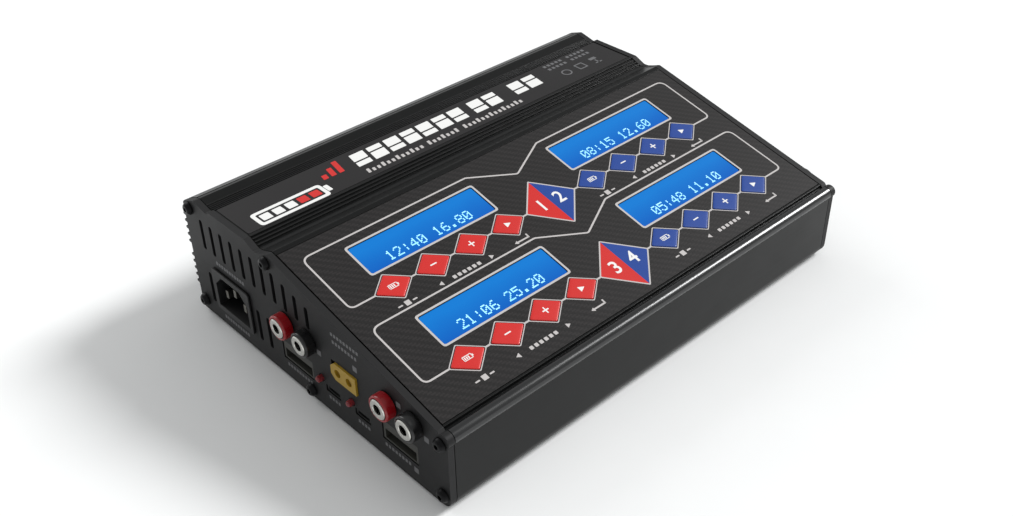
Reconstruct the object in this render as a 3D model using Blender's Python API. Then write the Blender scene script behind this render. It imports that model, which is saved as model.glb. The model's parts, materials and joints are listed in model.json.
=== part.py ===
"""Four-channel balance battery charger: an extruded aluminium case with two end plates.

Lengths are written in millimetres and turned to metres by MM. X runs along the case, from the
left end plate to the right one, Y to the back and Z up. The origin is on the floor, under the
middle of the whole charger.
"""

import math

import bmesh
import bpy
from mathutils import Matrix, Vector

MM = 0.001
GAP = 0.3                    # kept wherever two separate pieces meet

# Driving dimensions of the case
LENGTH = 235.0               # over the two end plates
PLATE = 3.0                  # end plate thickness
FOOT_HEIGHT = 1.6            # the case's underside stands this far above the floor
FRONT_Y = -89.7              # plain front face
BACK_Y = 81.5                # back wall, where the fins start
FIN_TIP_Y = 90.5
TOP_Z = 59.9                 # label panel, above the case's underside
CREST_Y = 17.1               # back edge of the sloping deck
CREST_Z = 60.3
DECK_ANGLE = math.radians(13.3)
SHELL = 2.0                  # wall under the keypad overlay

# Heat-sink fins on the back wall
FIN_COUNT = 11
FIN_PITCH = 3.67
FIRST_FIN_Z = 7.75
MISSING_FIN = 5
FIN_ROOT = 1.7
FIN_TIP = 1.2

# The rounded bead along the front edge
BEAD_Y = -87.6
BEAD_Z = 33.5
BEAD_R = 2.9

# Deck layout: x along the case, s down the slope from the crest
OVERLAY_START = 2.2
OVERLAY_END = 103.0
OVERLAY_THICK = 0.6
RECESS = OVERLAY_THICK + GAP
LCD_X = 56.35
LCD_S = 23.4
LCD_SIZE = (65.7, 15.9)
LCD_BOARD = (72.0, 21.0)
ROW_PITCH = 44.3
KEY_S = 41.3
KEY_FIRST_X = 25.6
KEY_PITCH = 20.37
KEY_HALF = (8.6, 6.8)        # half diagonals of a key cap
KEY_HOLE_HALF = (9.0, 7.12)
KEY_RISE = 0.4               # cap above the overlay
KEY_DEPTH = 3.1              # cap below the overlay's face
KEY_TRAVEL = 0.4
SWITCH_TOP = KEY_DEPTH + KEY_TRAVEL + 0.1
SWITCH_HEIGHT = 4.2
SWITCH_BOARD = 1.6
KEY_NAMES = ("type", "down", "up", "start")

# End plate screws, (y, z)
SCREWS = {
    "top_back": (76.5, 54.8),
    "bottom_back": (77.6, 5.6),
    "top_middle": (18.6, 56.0),
    "bottom_middle": (-4.0, 4.2),
    "top_front": (-85.9, 31.0),
    "bottom_front": (-86.0, 5.4),
}
BOSS_R = 3.3
BOSS_BORE_R = 1.8
SCREW_R = 1.5
SCREW_HEAD_R = 3.0
SCREW_HEAD_H = 2.0
SCREW_LENGTH = 9.0
SCREW_HOLE_R = 1.9

# Connectors on the end plates
BANANA_Y = {"back": (9.6, -5.4), "front": (-55.8, -70.8)}
BANANA_Z = 30.5
BANANA_HOLE_R = 4.3
BALANCE_Y = {"back": 4.6, "front": -61.4}
BALANCE_BODY = (20.8, 9.2)
BALANCE_BOTTOM = 10.0
BALANCE_CAVITY = (18.4, 4.6)
SENSOR_Y = (-19.2, -38.4)
SENSOR_WINDOW = (9.6, 3.4)
SENSOR_Z = 12.1
LED_Y = (-11.9, -31.9)
LED_Z = 15.5
LED_HOLE_R = 1.8
LED_R = 1.45
DC_INLET_Y = -28.7
DC_INLET_Z = 26.0
DC_INLET_SIZE = (16.0, 8.4)
AC_INLET_Y = 50.8
AC_INLET_Z = 19.6
AC_FLANGE = (28.6, 21.4)
AC_BODY = (26.6, 19.4)
AC_RECESS = (24.0, 16.4)
AC_CORNER = 5.0
AC_PIN_Z = (-1.2, 2.8)       # live and neutral, then earth, from the recess's middle

# Vent slots in the end plates
SLOT_WIDTH = 2.4
SLOT_FIRST_Y = 68.8
SLOT_PITCH = 7.55
SLOT_COUNT = 11
SLOT_BOTTOM = 37.2
SLOT_TOP = 52.4
LOW_SLOTS_Y = (69.4, 32.0, 24.5)
LOW_SLOT = (8.6, 24.6)

# Fan behind the right end plate
FAN_Y = 48.0
FAN_Z = 28.0
FAN_SIZE = 40.0
FAN_DEPTH = 10.0
FAN_DUCT_R = 18.6
FAN_HUB_R = 8.0
FAN_BLADES = 7
FAN_SHAFT_R = 1.2
FAN_BORE_R = 1.3

# Boards
MAIN_BOARD_Z = 8.0
BOARD = 1.6

END_X = LENGTH / 2
PLATE_IN = END_X - PLATE
CASE_END = PLATE_IN - GAP


# Helpers ---------------------------------------------------------------------------------------

def material(name, color, roughness, metallic=0.0):
    mat = bpy.data.materials.new(name)
    mat.use_nodes = True
    shader = mat.node_tree.nodes["Principled BSDF"]
    shader.inputs["Base Color"].default_value = (*color, 1.0)
    shader.inputs["Roughness"].default_value = roughness
    shader.inputs["Metallic"].default_value = metallic
    mat.diffuse_color = (*color, 1.0)
    return mat


def finish_mesh(name, bm, mat, parent, smooth_angle=None):
    """Turns the bmesh, built in millimetres, into an object in metres."""
    bmesh.ops.recalc_face_normals(bm, faces=bm.faces)
    bmesh.ops.scale(bm, vec=(MM, MM, MM), verts=bm.verts)
    mesh = bpy.data.meshes.new(name)
    bm.to_mesh(mesh)
    bm.free()
    if smooth_angle:
        mesh.shade_smooth()
        mesh.set_sharp_from_angle(angle=math.radians(smooth_angle))
    if mat:
        mesh.materials.append(mat)
    obj = bpy.data.objects.new(name, mesh)
    obj.parent = parent
    bpy.context.scene.collection.objects.link(obj)
    return obj


def place(obj, x=0.0, y=0.0, z=0.0):
    obj.location = Vector((x, y, z)) * MM
    return obj


def extrude_outline(bm, points, move):
    """Adds the closed prism of a flat outline carried along a vector."""
    verts = [bm.verts.new(p) for p in points]
    face = bm.faces.new(verts)
    grown = bmesh.ops.extrude_face_region(bm, geom=[face], use_keep_orig=True)
    moved = [g for g in grown["geom"] if isinstance(g, bmesh.types.BMVert)]
    bmesh.ops.translate(bm, vec=move, verts=moved)


def stack_outline(bm, outline, levels):
    """Adds a closed body through copies of an (x, y) outline, each at a (z, scale) level."""
    rings = [[bm.verts.new((x * k, y * k, z)) for x, y in outline] for z, k in levels]
    for low, high in zip(rings, rings[1:]):
        for i in range(len(low)):
            j = (i + 1) % len(low)
            bm.faces.new((low[i], low[j], high[j], high[i]))
    bm.faces.new(rings[0])
    bm.faces.new(rings[-1])


def add_box(bm, size, centre):
    made = bmesh.ops.create_cube(bm, size=1.0)
    bmesh.ops.scale(bm, vec=size, verts=made["verts"])
    bmesh.ops.translate(bm, vec=centre, verts=made["verts"])


def prism_x(name, outline, x0, x1, mat, parent, smooth_angle=None):
    """An outline of (y, z) points carried from x0 to x1."""
    bm = bmesh.new()
    extrude_outline(bm, [(x0, y, z) for y, z in outline], (x1 - x0, 0, 0))
    return finish_mesh(name, bm, mat, parent, smooth_angle)


def boxes(name, parts, mat, parent):
    """One mesh of separate boxes, each (size, centre)."""
    bm = bmesh.new()
    for size, centre in parts:
        add_box(bm, size, centre)
    return finish_mesh(name, bm, mat, parent)


def turned_x(bm, profile, steps, centre=(0.0, 0.0, 0.0)):
    """Adds the solid that a profile of (x, radius) points makes when it turns about X."""
    cx, cy, cz = centre
    verts = [bm.verts.new((cx + x, cy, cz + r)) for x, r in profile]
    edges = [bm.edges.new(pair) for pair in zip(verts, verts[1:])]
    bmesh.ops.spin(bm, geom=verts + edges, cent=centre, axis=(1, 0, 0),
                   angle=2 * math.pi, steps=steps, use_merge=False)
    bmesh.ops.remove_doubles(bm, verts=bm.verts, dist=1e-4)


def face_left(bm):
    """Turns a shape made for the right-hand end half a turn about Z."""
    bmesh.ops.rotate(bm, matrix=Matrix.Rotation(math.pi, 3, "Z"), verts=bm.verts)


def arc(cy, cz, radius, start, end, steps):
    """Points on an arc in the YZ plane, with angles in degrees from +Y towards +Z."""
    angles = [math.radians(start + (end - start) * i / steps) for i in range(steps + 1)]
    return [(cy + radius * math.cos(a), cz + radius * math.sin(a)) for a in angles]


def slot_outline(y, bottom, top, width, steps=4):
    r = width / 2
    return arc(y, top - r, r, 0, 180, steps) + arc(y, bottom + r, r, 180, 360, steps)


def rounded_rect(cx, cy, width, height, radius, steps=2):
    points = []
    corners = ((1, 1, 0), (-1, 1, 90), (-1, -1, 180), (1, -1, 270))
    for sx, sy, start in corners:
        mx = cx + sx * (width / 2 - radius)
        my = cy + sy * (height / 2 - radius)
        points += arc(mx, my, radius, start, start + 90, steps)
    return points


def diamond(cx, cy, half, radius, steps=2):
    """A rhombus with round corners, anticlockwise from its right-hand corner."""
    a, b = half
    reach = math.hypot(a, b)
    normal = math.degrees(math.atan2(a, b))          # direction of an edge's outward normal
    side = cx + a - radius * reach / b
    top = cy + b - radius * reach / a
    points = arc(side, cy, radius, -normal, normal, steps)
    points += arc(cx, top, radius, normal, 180 - normal, steps)
    points += arc(2 * cx - side, cy, radius, 180 - normal, 180 + normal, steps)
    points += arc(cx, 2 * cy - top, radius, 180 + normal, 360 - normal, steps)
    return points


def cut(target, cutter):
    return boolean(target, cutter, "DIFFERENCE")


def fuse(target, other, overlapping=False):
    """Joins other to target. Overlapping is for a mesh whose own pieces run into each other."""
    return boolean(target, other, "UNION", overlapping)


def boolean(target, other, operation, overlapping=False):
    modifier = target.modifiers.new(operation.lower() + "_" + other.name, "BOOLEAN")
    modifier.operation = operation
    modifier.solver = "EXACT"
    modifier.use_self = overlapping
    modifier.object = other
    other.hide_render = True
    other.display_type = "WIRE"
    return target


def deck_point(s, depth):
    """(y, z) of a point s down the slope and depth under the overlay's face."""
    cos, sin = math.cos(DECK_ANGLE), math.sin(DECK_ANGLE)
    return (CREST_Y - s * cos + depth * sin, CREST_Z - s * sin - depth * cos)


# Scene -----------------------------------------------------------------------------------------

for old in list(bpy.data.objects):
    bpy.data.objects.remove(old)

case = bpy.data.objects.new("case_frame", None)
bpy.context.scene.collection.objects.link(case)
case.location = (0, 0, FOOT_HEIGHT * MM)

# On the deck, local X runs along the case, local Y up the slope and local Z out of the face.
deck = bpy.data.objects.new("deck_frame", None)
bpy.context.scene.collection.objects.link(deck)
deck.parent = case
deck.location = (0, CREST_Y * MM, CREST_Z * MM)
deck.rotation_euler = (DECK_ANGLE, 0, 0)

BLACK_ANODISED = material("black_anodised_aluminium", (0.022, 0.022, 0.023), 0.42, 0.6)
GREY_ANODISED = material("matte_black_anodised_plate", (0.045, 0.045, 0.046), 0.55, 0.4)
OVERLAY_FILM = material("keypad_film", (0.018, 0.017, 0.018), 0.45)
LCD_BLUE = material("backlit_lcd", (0.0, 0.19, 0.72), 0.15)
KEY_RED = material("red_key", (0.75, 0.014, 0.012), 0.35)
KEY_BLUE = material("blue_key", (0.006, 0.045, 0.26), 0.35)
PCB_GREEN = material("circuit_board", (0.01, 0.09, 0.03), 0.5)
SOCKET_RED = material("red_socket", (0.62, 0.01, 0.015), 0.3)
SOCKET_BLACK = material("black_socket", (0.02, 0.02, 0.02), 0.3)
CONNECTOR_YELLOW = material("yellow_nylon", (0.72, 0.5, 0.06), 0.45)
BLACK_PLASTIC = material("black_plastic", (0.018, 0.018, 0.018), 0.45)
GREY_NYLON = material("grey_nylon", (0.16, 0.16, 0.15), 0.5)
BLACK_STEEL = material("black_steel_screw", (0.012, 0.012, 0.013), 0.35, 0.8)
RUBBER = material("rubber", (0.012, 0.012, 0.012), 0.85)


# Case section ----------------------------------------------------------------------------------

def bead_and_front():
    """From the groove in front of the keypad, over the bead and down the front face."""
    down = math.degrees(math.asin((BEAD_Y - FRONT_Y) / BEAD_R))
    bead = arc(BEAD_Y, BEAD_Z, BEAD_R, 30, 270 - down, 10)
    corner = arc(FRONT_Y + 5, 5, 5, 180, 270, 4)
    return bead + corner


def fins():
    points = []
    for k in reversed(range(FIN_COUNT)):
        if k == MISSING_FIN:
            continue
        z = FIRST_FIN_Z + k * FIN_PITCH
        points += [(BACK_Y, z + FIN_ROOT / 2), (FIN_TIP_Y, z + FIN_TIP / 2)]
        points += [(FIN_TIP_Y, z - FIN_TIP / 2), (BACK_Y, z - FIN_ROOT / 2)]
    return points


def stepped_ribs(first_y, first_z, count, pitch, rise, top, dip):
    """Small ribs that climb towards the back."""
    points = []
    for k in range(count):
        y, z = first_y + k * pitch, first_z + k * rise
        points += [(y, z - dip), (y + 0.1, z), (y + top - 0.1, z), (y + top, z + rise - dip)]
    return points


def case_section():
    """Closed outline of the upper case, in (y, z), from the front lip round to the back lip."""
    front = list(reversed(bead_and_front()))
    deck_top = [deck_point(104.2, 1.15), deck_point(104.0, 0), deck_point(OVERLAY_END + GAP, 0),
                deck_point(OVERLAY_END + GAP, RECESS), deck_point(OVERLAY_START - GAP, RECESS),
                deck_point(OVERLAY_START - GAP, 0)]
    crest = [(CREST_Y + 0.5, CREST_Z + 0.02), (CREST_Y + 1.2, CREST_Z - 0.2)]
    valley = [(21.9, 58.6), (24.8, 57.6), (27.4, 57.4)]
    ribs = stepped_ribs(28.2, 58.1, 3, 1.7, 0.6, 0.9, 0.8)
    label = [(33.3, 59.1), (33.4, TOP_Z), (35.0, TOP_Z), (35.1, TOP_Z - 0.4), (60.2, TOP_Z - 0.4),
             (60.3, TOP_Z), (60.9, TOP_Z)]
    groove = [(61.2, 57.3), (62.9, 57.2)]
    strip_ribs = stepped_ribs(63.3, 58.6, 4, 1.0, 0.23, 0.5, 0.3)
    strip = [(67.4, 59.3), (71.1, 60.18), (71.8, 60.3), (72.7, 60.15)]
    shoulder = [(79.5, 57.6), (80.8, 56.8), (BACK_Y, 55.7)]
    outer = (front + deck_top + crest + valley + ribs + label + groove + strip_ribs + strip
             + shoulder + fins() + arc(BACK_Y - 2, 2, 2, -20, -90, 3))
    lip = 79.5
    wall_front, wall_back = FRONT_Y + 2.2, BACK_Y - 2.5
    under = RECESS + SHELL
    front_s = (CREST_Y + under * math.sin(DECK_ANGLE) - wall_front) / math.cos(DECK_ANGLE)
    inner = [(lip - 8, 0), (lip - 8, 2), (wall_back - 1.6, 2), (wall_back, 3.6),
             (wall_back, 53.2), (72.5, 57.4), (68.2, 57.4), (65.8, 54.8), (58.5, 54.8),
             (56.5, 57.3), (37.5, 57.3), (36.0, 55.0), (23.0, 55.0), (20.6, 56.9),
             deck_point(2.6, under), deck_point(front_s, under), (wall_front, 3.8),
             (wall_front + 1.8, 2), (-lip, 2), (-lip, 0)]
    return outer + inner


def screw_channels(name, keys, radius, reach):
    bm = bmesh.new()
    for key in keys:
        y, z = SCREWS[key]
        turned_x(bm, [(-reach, 0), (-reach, radius), (reach, radius), (reach, 0)], 12, (0, y, z))
    return finish_mesh(name, bm, None, case)


def deck_cutter(name, outlines, top, bottom):
    """Prisms through the deck, each an outline of (x, -s) points."""
    bm = bmesh.new()
    for outline in outlines:
        extrude_outline(bm, [(x, v, bottom) for x, v in outline], (0, 0, top - bottom))
    return finish_mesh(name, bm, None, deck)


def key_places():
    """(channel, key name, x, s): channels 1 and 3 on the left, 2 and 4 on the right."""
    places = []
    for row in range(2):
        for side in (-1, 1):
            channel = 2 * row + (1 if side < 0 else 2)
            order = reversed(range(4)) if side < 0 else range(4)
            for k, name in zip(order, KEY_NAMES):
                x = side * (KEY_FIRST_X + k * KEY_PITCH)
                places.append((channel, name, x, KEY_S + row * ROW_PITCH))
    return places


def lcd_places():
    """(channel, x, s) of the four displays."""
    places = []
    for row in range(2):
        for side in (-1, 1):
            channel = 2 * row + (1 if side < 0 else 2)
            places.append((channel, side * LCD_X, LCD_S + row * ROW_PITCH))
    return places


def key_holes():
    return [diamond(x, -s, KEY_HOLE_HALF, 0.9) for _, _, x, s in key_places()]


def lcd_holes(clearance):
    width, height = LCD_SIZE
    return [rounded_rect(x, -s, width + 2 * clearance, height + 2 * clearance, 1.0)
            for _, x, s in lcd_places()]


def make_case():
    upper = prism_x("upper_case", case_section(), -CASE_END, CASE_END, BLACK_ANODISED, case)
    bosses = [k for k in SCREWS if k != "bottom_middle"]
    holes = key_holes() + lcd_holes(2 * GAP)
    cut(upper, deck_cutter("deck_wall_holes", holes, 3, -6))
    fuse(upper, screw_channels("boss_rods", bosses, BOSS_R, CASE_END - 1))
    cut(upper, screw_channels("boss_bores", bosses, BOSS_BORE_R, CASE_END + 5))


def make_base():
    """The bottom plate slides in between the upper case's two lips."""
    front, back = -79.2, 71.2
    front_ledge, back_ledge = -82.3, 73.9
    outline = [(front, 0), (back, 0), (back, 2 + GAP), (back_ledge, 2 + GAP), (back_ledge, 3.9),
               (front_ledge, 3.9), (front_ledge, 2 + GAP), (front, 2 + GAP)]
    base = prism_x("base_plate", outline, -CASE_END, CASE_END, BLACK_ANODISED, case)
    fuse(base, screw_channels("base_boss_rod", ["bottom_middle"], BOSS_R, CASE_END - 1))
    cut(base, screw_channels("base_boss_bore", ["bottom_middle"], BOSS_BORE_R, CASE_END + 5))
    posts = [((6, 6, 5), (x, y, MAIN_BOARD_Z - GAP - 2.5))
             for x in (-95, 0, 95) for y in (-74, 14)]
    fuse(base, boxes("board_posts", posts, None, case))


def plate_outline():
    front = list(reversed(bead_and_front()))
    deck_top = [deck_point(104.2, 0), deck_point(0.5, 0)]
    top = [(CREST_Y + 0.5, CREST_Z + 0.02), (CREST_Y + 1.2, CREST_Z - 0.2), (21.9, 58.6),
           (24.8, 57.6), (27.4, 57.4), (33.4, TOP_Z), (60.9, TOP_Z), (61.3, 58.5), (63.3, 58.4),
           (71.1, 60.18), (71.8, 60.3), (72.7, 60.15), (79.5, 57.6), (80.8, 56.8), (BACK_Y, 55.7)]
    return front + deck_top + top + arc(BACK_Y - 2, 2, 2, 0, -90, 4)


def plate_cutter(name, outlines, side):
    """Prisms right through an end plate. Side is -1 for the left plate and 1 for the right."""
    bm = bmesh.new()
    for outline in outlines:
        extrude_outline(bm, [(PLATE_IN - 2, y, z) for y, z in outline], (PLATE + 4, 0, 0))
    if side < 0:
        bmesh.ops.scale(bm, vec=(-1, 1, 1), verts=bm.verts)
    return finish_mesh(name, bm, None, case)


def upper_slot(i):
    drop = max(0.0, i - 7) * 1.5
    return slot_outline(SLOT_FIRST_Y - i * SLOT_PITCH, SLOT_BOTTOM, SLOT_TOP - drop, SLOT_WIDTH)


def connector_holes():
    """Holes that both end plates have: the sockets of one side's two channels, and the screws."""
    holes = []
    for pair in BANANA_Y.values():
        holes += [arc(y, BANANA_Z, BANANA_HOLE_R, 0, 337.5, 15) for y in pair]
    for y in BALANCE_Y.values():
        width, height = BALANCE_BODY
        middle = BALANCE_BOTTOM + height / 2
        holes.append(rounded_rect(y, middle, width + 2 * GAP, height + 2 * GAP, 0.4, 2))
    holes += [rounded_rect(y, SENSOR_Z, *SENSOR_WINDOW, 0.6, 2) for y in SENSOR_Y]
    holes += [arc(y, LED_Z, LED_HOLE_R, 0, 315, 7) for y in LED_Y]
    holes += [arc(y, z, SCREW_HOLE_R, 0, 315, 7) for y, z in SCREWS.values()]
    return holes


def fan_grille():
    """Rings of curved slots in front of the fan."""
    holes = []
    for ring, (inner, outer) in enumerate(((6.0, 8.6), (10.6, 13.2), (15.2, 17.8))):
        for quarter in range(4):
            start = 45 * (ring % 2) + 90 * quarter + 9
            end = start + 72
            holes.append(arc(FAN_Y, FAN_Z, outer, start, end, 5)
                         + arc(FAN_Y, FAN_Z, inner, end, start, 5))
    return holes


def ac_window(clearance):
    width, height = AC_BODY
    return rounded_rect(AC_INLET_Y, AC_INLET_Z, width + 2 * clearance, height + 2 * clearance, 1, 2)


def make_end_plates():
    left_only = [upper_slot(i) for i in range(SLOT_COUNT)]
    left_only += [slot_outline(y, *LOW_SLOT, SLOT_WIDTH) for y in LOW_SLOTS_Y]
    width, height = DC_INLET_SIZE
    left_only.append(rounded_rect(DC_INLET_Y, DC_INLET_Z, width + 2 * GAP, height + 2 * GAP,
                                  0.6, 2))
    left_only.append(ac_window(GAP))
    right_only = [upper_slot(i) for i in range(6, SLOT_COUNT)] + fan_grille()
    for name, side, extra in (("left", -1, left_only), ("right", 1, right_only)):
        x0, x1 = sorted((side * PLATE_IN, side * END_X))
        plate = prism_x("end_plate_" + name, plate_outline(), x0, x1, GREY_ANODISED, case)
        cut(plate, plate_cutter("end_holes_" + name, connector_holes() + extra, side))


def screw_profile():
    """Button head screw along X, its head outwards at x = 0."""
    socket, depth = 1.1, 1.2
    top = SCREW_HEAD_H
    head = [(top, socket), (top, 1.7), (top * 0.7, 2.6), (0, SCREW_HEAD_R)]
    shank = [(0, SCREW_R), (-SCREW_LENGTH, SCREW_R), (-SCREW_LENGTH, 0)]
    return [(top - depth, 0), (top - depth, socket)] + head + shank


def make_screws():
    for side_name, side in (("left", -1), ("right", 1)):
        for key, (y, z) in SCREWS.items():
            bm = bmesh.new()
            turned_x(bm, screw_profile(), 10)
            if side < 0:
                face_left(bm)
            screw = finish_mesh("screw_" + side_name + "_" + key, bm, BLACK_STEEL, case, 40)
            place(screw, side * (END_X + GAP), y, z)


# Deck ------------------------------------------------------------------------------------------

def make_overlay():
    """The printed keypad film, with openings for the keys and the displays."""
    reach = CASE_END - GAP
    middle = (OVERLAY_START + OVERLAY_END) / 2
    bm = bmesh.new()
    add_box(bm, (2 * reach, OVERLAY_END - OVERLAY_START, OVERLAY_THICK),
            (0, -middle, -OVERLAY_THICK / 2))
    overlay = finish_mesh("keypad_overlay", bm, OVERLAY_FILM, deck)
    cut(overlay, deck_cutter("overlay_holes", key_holes() + lcd_holes(GAP), 2, -2))


def make_displays():
    """A display module: its glass stands in the overlay's window, its board hangs below."""
    wall_under = RECESS + SHELL + GAP
    for channel, x, s in lcd_places():
        bm = bmesh.new()
        top, foot = -GAP, -(wall_under + 0.8)
        extrude_outline(bm, [(px, py, foot) for px, py in rounded_rect(0, 0, *LCD_SIZE, 0.8, 3)],
                        (0, 0, top - foot))
        glass = finish_mesh("lcd_module_" + str(channel), bm, LCD_BLUE, deck)
        place(glass, x, -s)
        width, height = LCD_BOARD
        board = boxes("lcd_board_" + str(channel),
                      [((width, height, BOARD), (0, 0, -wall_under - BOARD / 2))], None, deck)
        place(board, x, -s)
        fuse(glass, board)


def make_keys():
    """Diamond keys. Each slides straight in along the deck's normal, on to its own switch."""
    for channel, name, x, s in key_places():
        mat = KEY_RED if channel % 2 else KEY_BLUE
        bm = bmesh.new()
        rim = diamond(0, 0, KEY_HALF, 0.8)
        levels = ((-KEY_DEPTH, 1.0), (KEY_RISE - 0.3, 1.0), (KEY_RISE, 0.96))
        stack_outline(bm, rim, levels)
        key = finish_mesh("key_" + str(channel) + "_" + name, bm, mat, deck, 30)
        place(key, x, -s)


def make_switch_board():
    """The board under the deck, with one tactile switch under each key."""
    face = SWITCH_TOP + SWITCH_HEIGHT
    width = 2 * 98.0
    start, end = 9.0, 98.0
    board = boxes("switch_board", [((width, end - start, SWITCH_BOARD),
                                    (0, -(start + end) / 2, -face - SWITCH_BOARD / 2))],
                  PCB_GREEN, deck)
    switches = [((6.2, 6.2, SWITCH_HEIGHT + 0.8), (x, -s, -face + (SWITCH_HEIGHT - 0.8) / 2))
                for _, _, x, s in key_places()]
    fuse(board, boxes("switch_bodies", switches, None, deck))


# End plate connectors --------------------------------------------------------------------------

def banana_profile():
    """4 mm safety socket: collar outside the plate, thread and nut inside, bore down the middle."""
    bore, depth = 2.2, 14.0
    return [(5.2 - depth, 0), (5.2 - depth, bore), (5.2, bore), (5.2, 4.2), (4.8, 4.6),
            (4.4, 4.6), (4.4, 5.3), (3.9, 5.8), (GAP, 5.8), (GAP, 4.0),
            (-PLATE - GAP, 4.0), (-PLATE - GAP, 5.6), (-PLATE - 3.3, 5.6), (-PLATE - 3.3, 4.0),
            (-PLATE - 13, 4.0), (-PLATE - 13, 0)]


def make_bananas():
    for side_name, side in (("left", -1), ("right", 1)):
        for row, pair in BANANA_Y.items():
            for pole, y, mat in zip(("plus", "minus"), pair, (SOCKET_RED, SOCKET_BLACK)):
                bm = bmesh.new()
                turned_x(bm, banana_profile(), 14)
                if side < 0:
                    face_left(bm)
                name = "banana_" + side_name + "_" + row + "_" + pole
                place(finish_mesh(name, bm, mat, case, 40), side * END_X, y, BANANA_Z)


def make_balance_sockets():
    width, height = BALANCE_BODY
    for side_name, side in (("left", -1), ("right", 1)):
        for row, y in BALANCE_Y.items():
            face, depth = END_X - GAP, 11.0
            body = boxes("balance_socket_" + side_name + "_" + row,
                         [((depth, width, height), (side * (face - depth / 2), y,
                                                    BALANCE_BOTTOM + height / 2))],
                         GREY_NYLON, case)
            cavity = boxes("balance_cavity_" + side_name + "_" + row,
                           [((16, *BALANCE_CAVITY), (side * face, y,
                                                     BALANCE_BOTTOM + 0.7 + BALANCE_CAVITY[1] / 2))],
                           None, case)
            cut(body, cavity)


def make_dc_inlet():
    """Yellow two-pole connector for a 12 V supply, with one bevelled end."""
    width, height = DC_INLET_SIZE
    y0, y1 = DC_INLET_Y - width / 2, DC_INLET_Y + width / 2
    z0, z1 = DC_INLET_Z - height / 2, DC_INLET_Z + height / 2
    outline = [(y0, z0), (y1 - 2.6, z0), (y1, z0 + 2.2), (y1, z1 - 2.2), (y1 - 2.6, z1), (y0, z1)]
    inlet = prism_x("dc_inlet", outline, -END_X - 0.8, -END_X + 13, CONNECTOR_YELLOW, case)
    bm = bmesh.new()
    for y in (DC_INLET_Y - 3.6, DC_INLET_Y + 3.6):
        turned_x(bm, [(-END_X - 3, 0), (-END_X - 3, 1.9), (-END_X + 8, 1.9), (-END_X + 8, 0)],
                 16, (0, y, DC_INLET_Z))
    cut(inlet, finish_mesh("dc_inlet_bores", bm, None, case))


def make_ac_inlet():
    """Mains inlet: a flange on the plate, a box behind it and a six-sided recess for the plug."""
    inlet = prism_x("ac_inlet", ac_window(0), -END_X - GAP - 0.5, -END_X + 20, BLACK_PLASTIC, case)
    flange = prism_x("ac_flange", rounded_rect(AC_INLET_Y, AC_INLET_Z, *AC_FLANGE, 1.4, 3),
                     -END_X - GAP - 0.9, -END_X - GAP, None, case)
    fuse(inlet, flange)
    width, height = AC_RECESS
    y0, y1 = AC_INLET_Y - width / 2, AC_INLET_Y + width / 2
    z0, z1 = AC_INLET_Z - height / 2, AC_INLET_Z + height / 2
    outline = [(y0, z0), (y1, z0), (y1, z1 - AC_CORNER), (y1 - AC_CORNER, z1),
               (y0 + AC_CORNER, z1), (y0, z1 - AC_CORNER)]
    cut(inlet, prism_x("ac_recess", outline, -END_X - 6, -END_X + 14, None, case))
    low, high = AC_INLET_Z + AC_PIN_Z[0], AC_INLET_Z + AC_PIN_Z[1]
    places = [(AC_INLET_Y - 7, low), (AC_INLET_Y + 7, low), (AC_INLET_Y, high)]
    pins = [((14.5, 2, 4), (-END_X + 7.75, y, z)) for y, z in places]
    fuse(inlet, boxes("ac_pins", pins, None, case))


# Inside ----------------------------------------------------------------------------------------

def make_main_board():
    """Charging board under the connectors, with heat sinks and the four sensor ports."""
    reach = PLATE_IN - GAP - 1
    board = boxes("main_board", [((2 * reach, 96, BOARD), (0, -30, MAIN_BOARD_Z + BOARD / 2))],
                  PCB_GREEN, case)
    top = MAIN_BOARD_Z + BOARD
    parts = [((26, 12, 14), (x, y, top + 6)) for x in (-42, 42) for y in (-62, -12)]
    parts += [((12, 12, 11), (x, -38, top + 4.5)) for x in (-66, -22, 22, 66)]
    width, height = SENSOR_WINDOW
    tube = (width - 2 * GAP, height - 2 * GAP)
    for side in (-1, 1):
        for y in SENSOR_Y:
            parts.append(((7, tube[0], 5), (side * (PLATE_IN - 4.3), y, top + 1.8)))
            parts.append(((6, *tube), (side * (END_X - 3.5), y, SENSOR_Z)))
        for y in LED_Y:
            parts.append(((3.4, 3.2, 8), (side * (PLATE_IN - 2.6), y, top + 3.9)))
    fuse(board, boxes("board_parts", parts, None, case), overlapping=True)
    bm = bmesh.new()
    inside, outside = PLATE_IN - 3.5, END_X + 2.6
    led = [(inside, 0), (inside, LED_R), (outside - 0.7, LED_R), (outside - 0.15, LED_R * 0.7),
           (outside, 0)]
    for y in LED_Y:
        turned_x(bm, led, 12, (0, y, LED_Z))
        turned_x(bm, [(-x, r) for x, r in led], 12, (0, y, LED_Z))
    fuse(board, finish_mesh("board_leds", bm, None, case))
    slots = [((8, width - 2.4, 1.6), (side * END_X, y, SENSOR_Z - 0.1))
             for side in (-1, 1) for y in SENSOR_Y]
    cut(board, boxes("sensor_slots", slots, None, case))


def make_power_board():
    """Mains supply board: transformer, capacitors and a heat sink."""
    board = boxes("power_board", [((176, 44, BOARD), (-4, 46, MAIN_BOARD_Z + BOARD / 2))],
                  PCB_GREEN, case)
    top = MAIN_BOARD_Z + BOARD
    parts = [((34, 30, 31), (8, 46, top + 15)), ((18, 18, 26), (-52, 40, top + 12.5)),
             ((18, 18, 26), (-30, 40, top + 12.5)), ((60, 4, 28), (62, 62, top + 13.5)),
             ((12, 16, 14), (52, 38, top + 6.5))]
    fuse(board, boxes("power_parts", parts, None, case))


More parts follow.
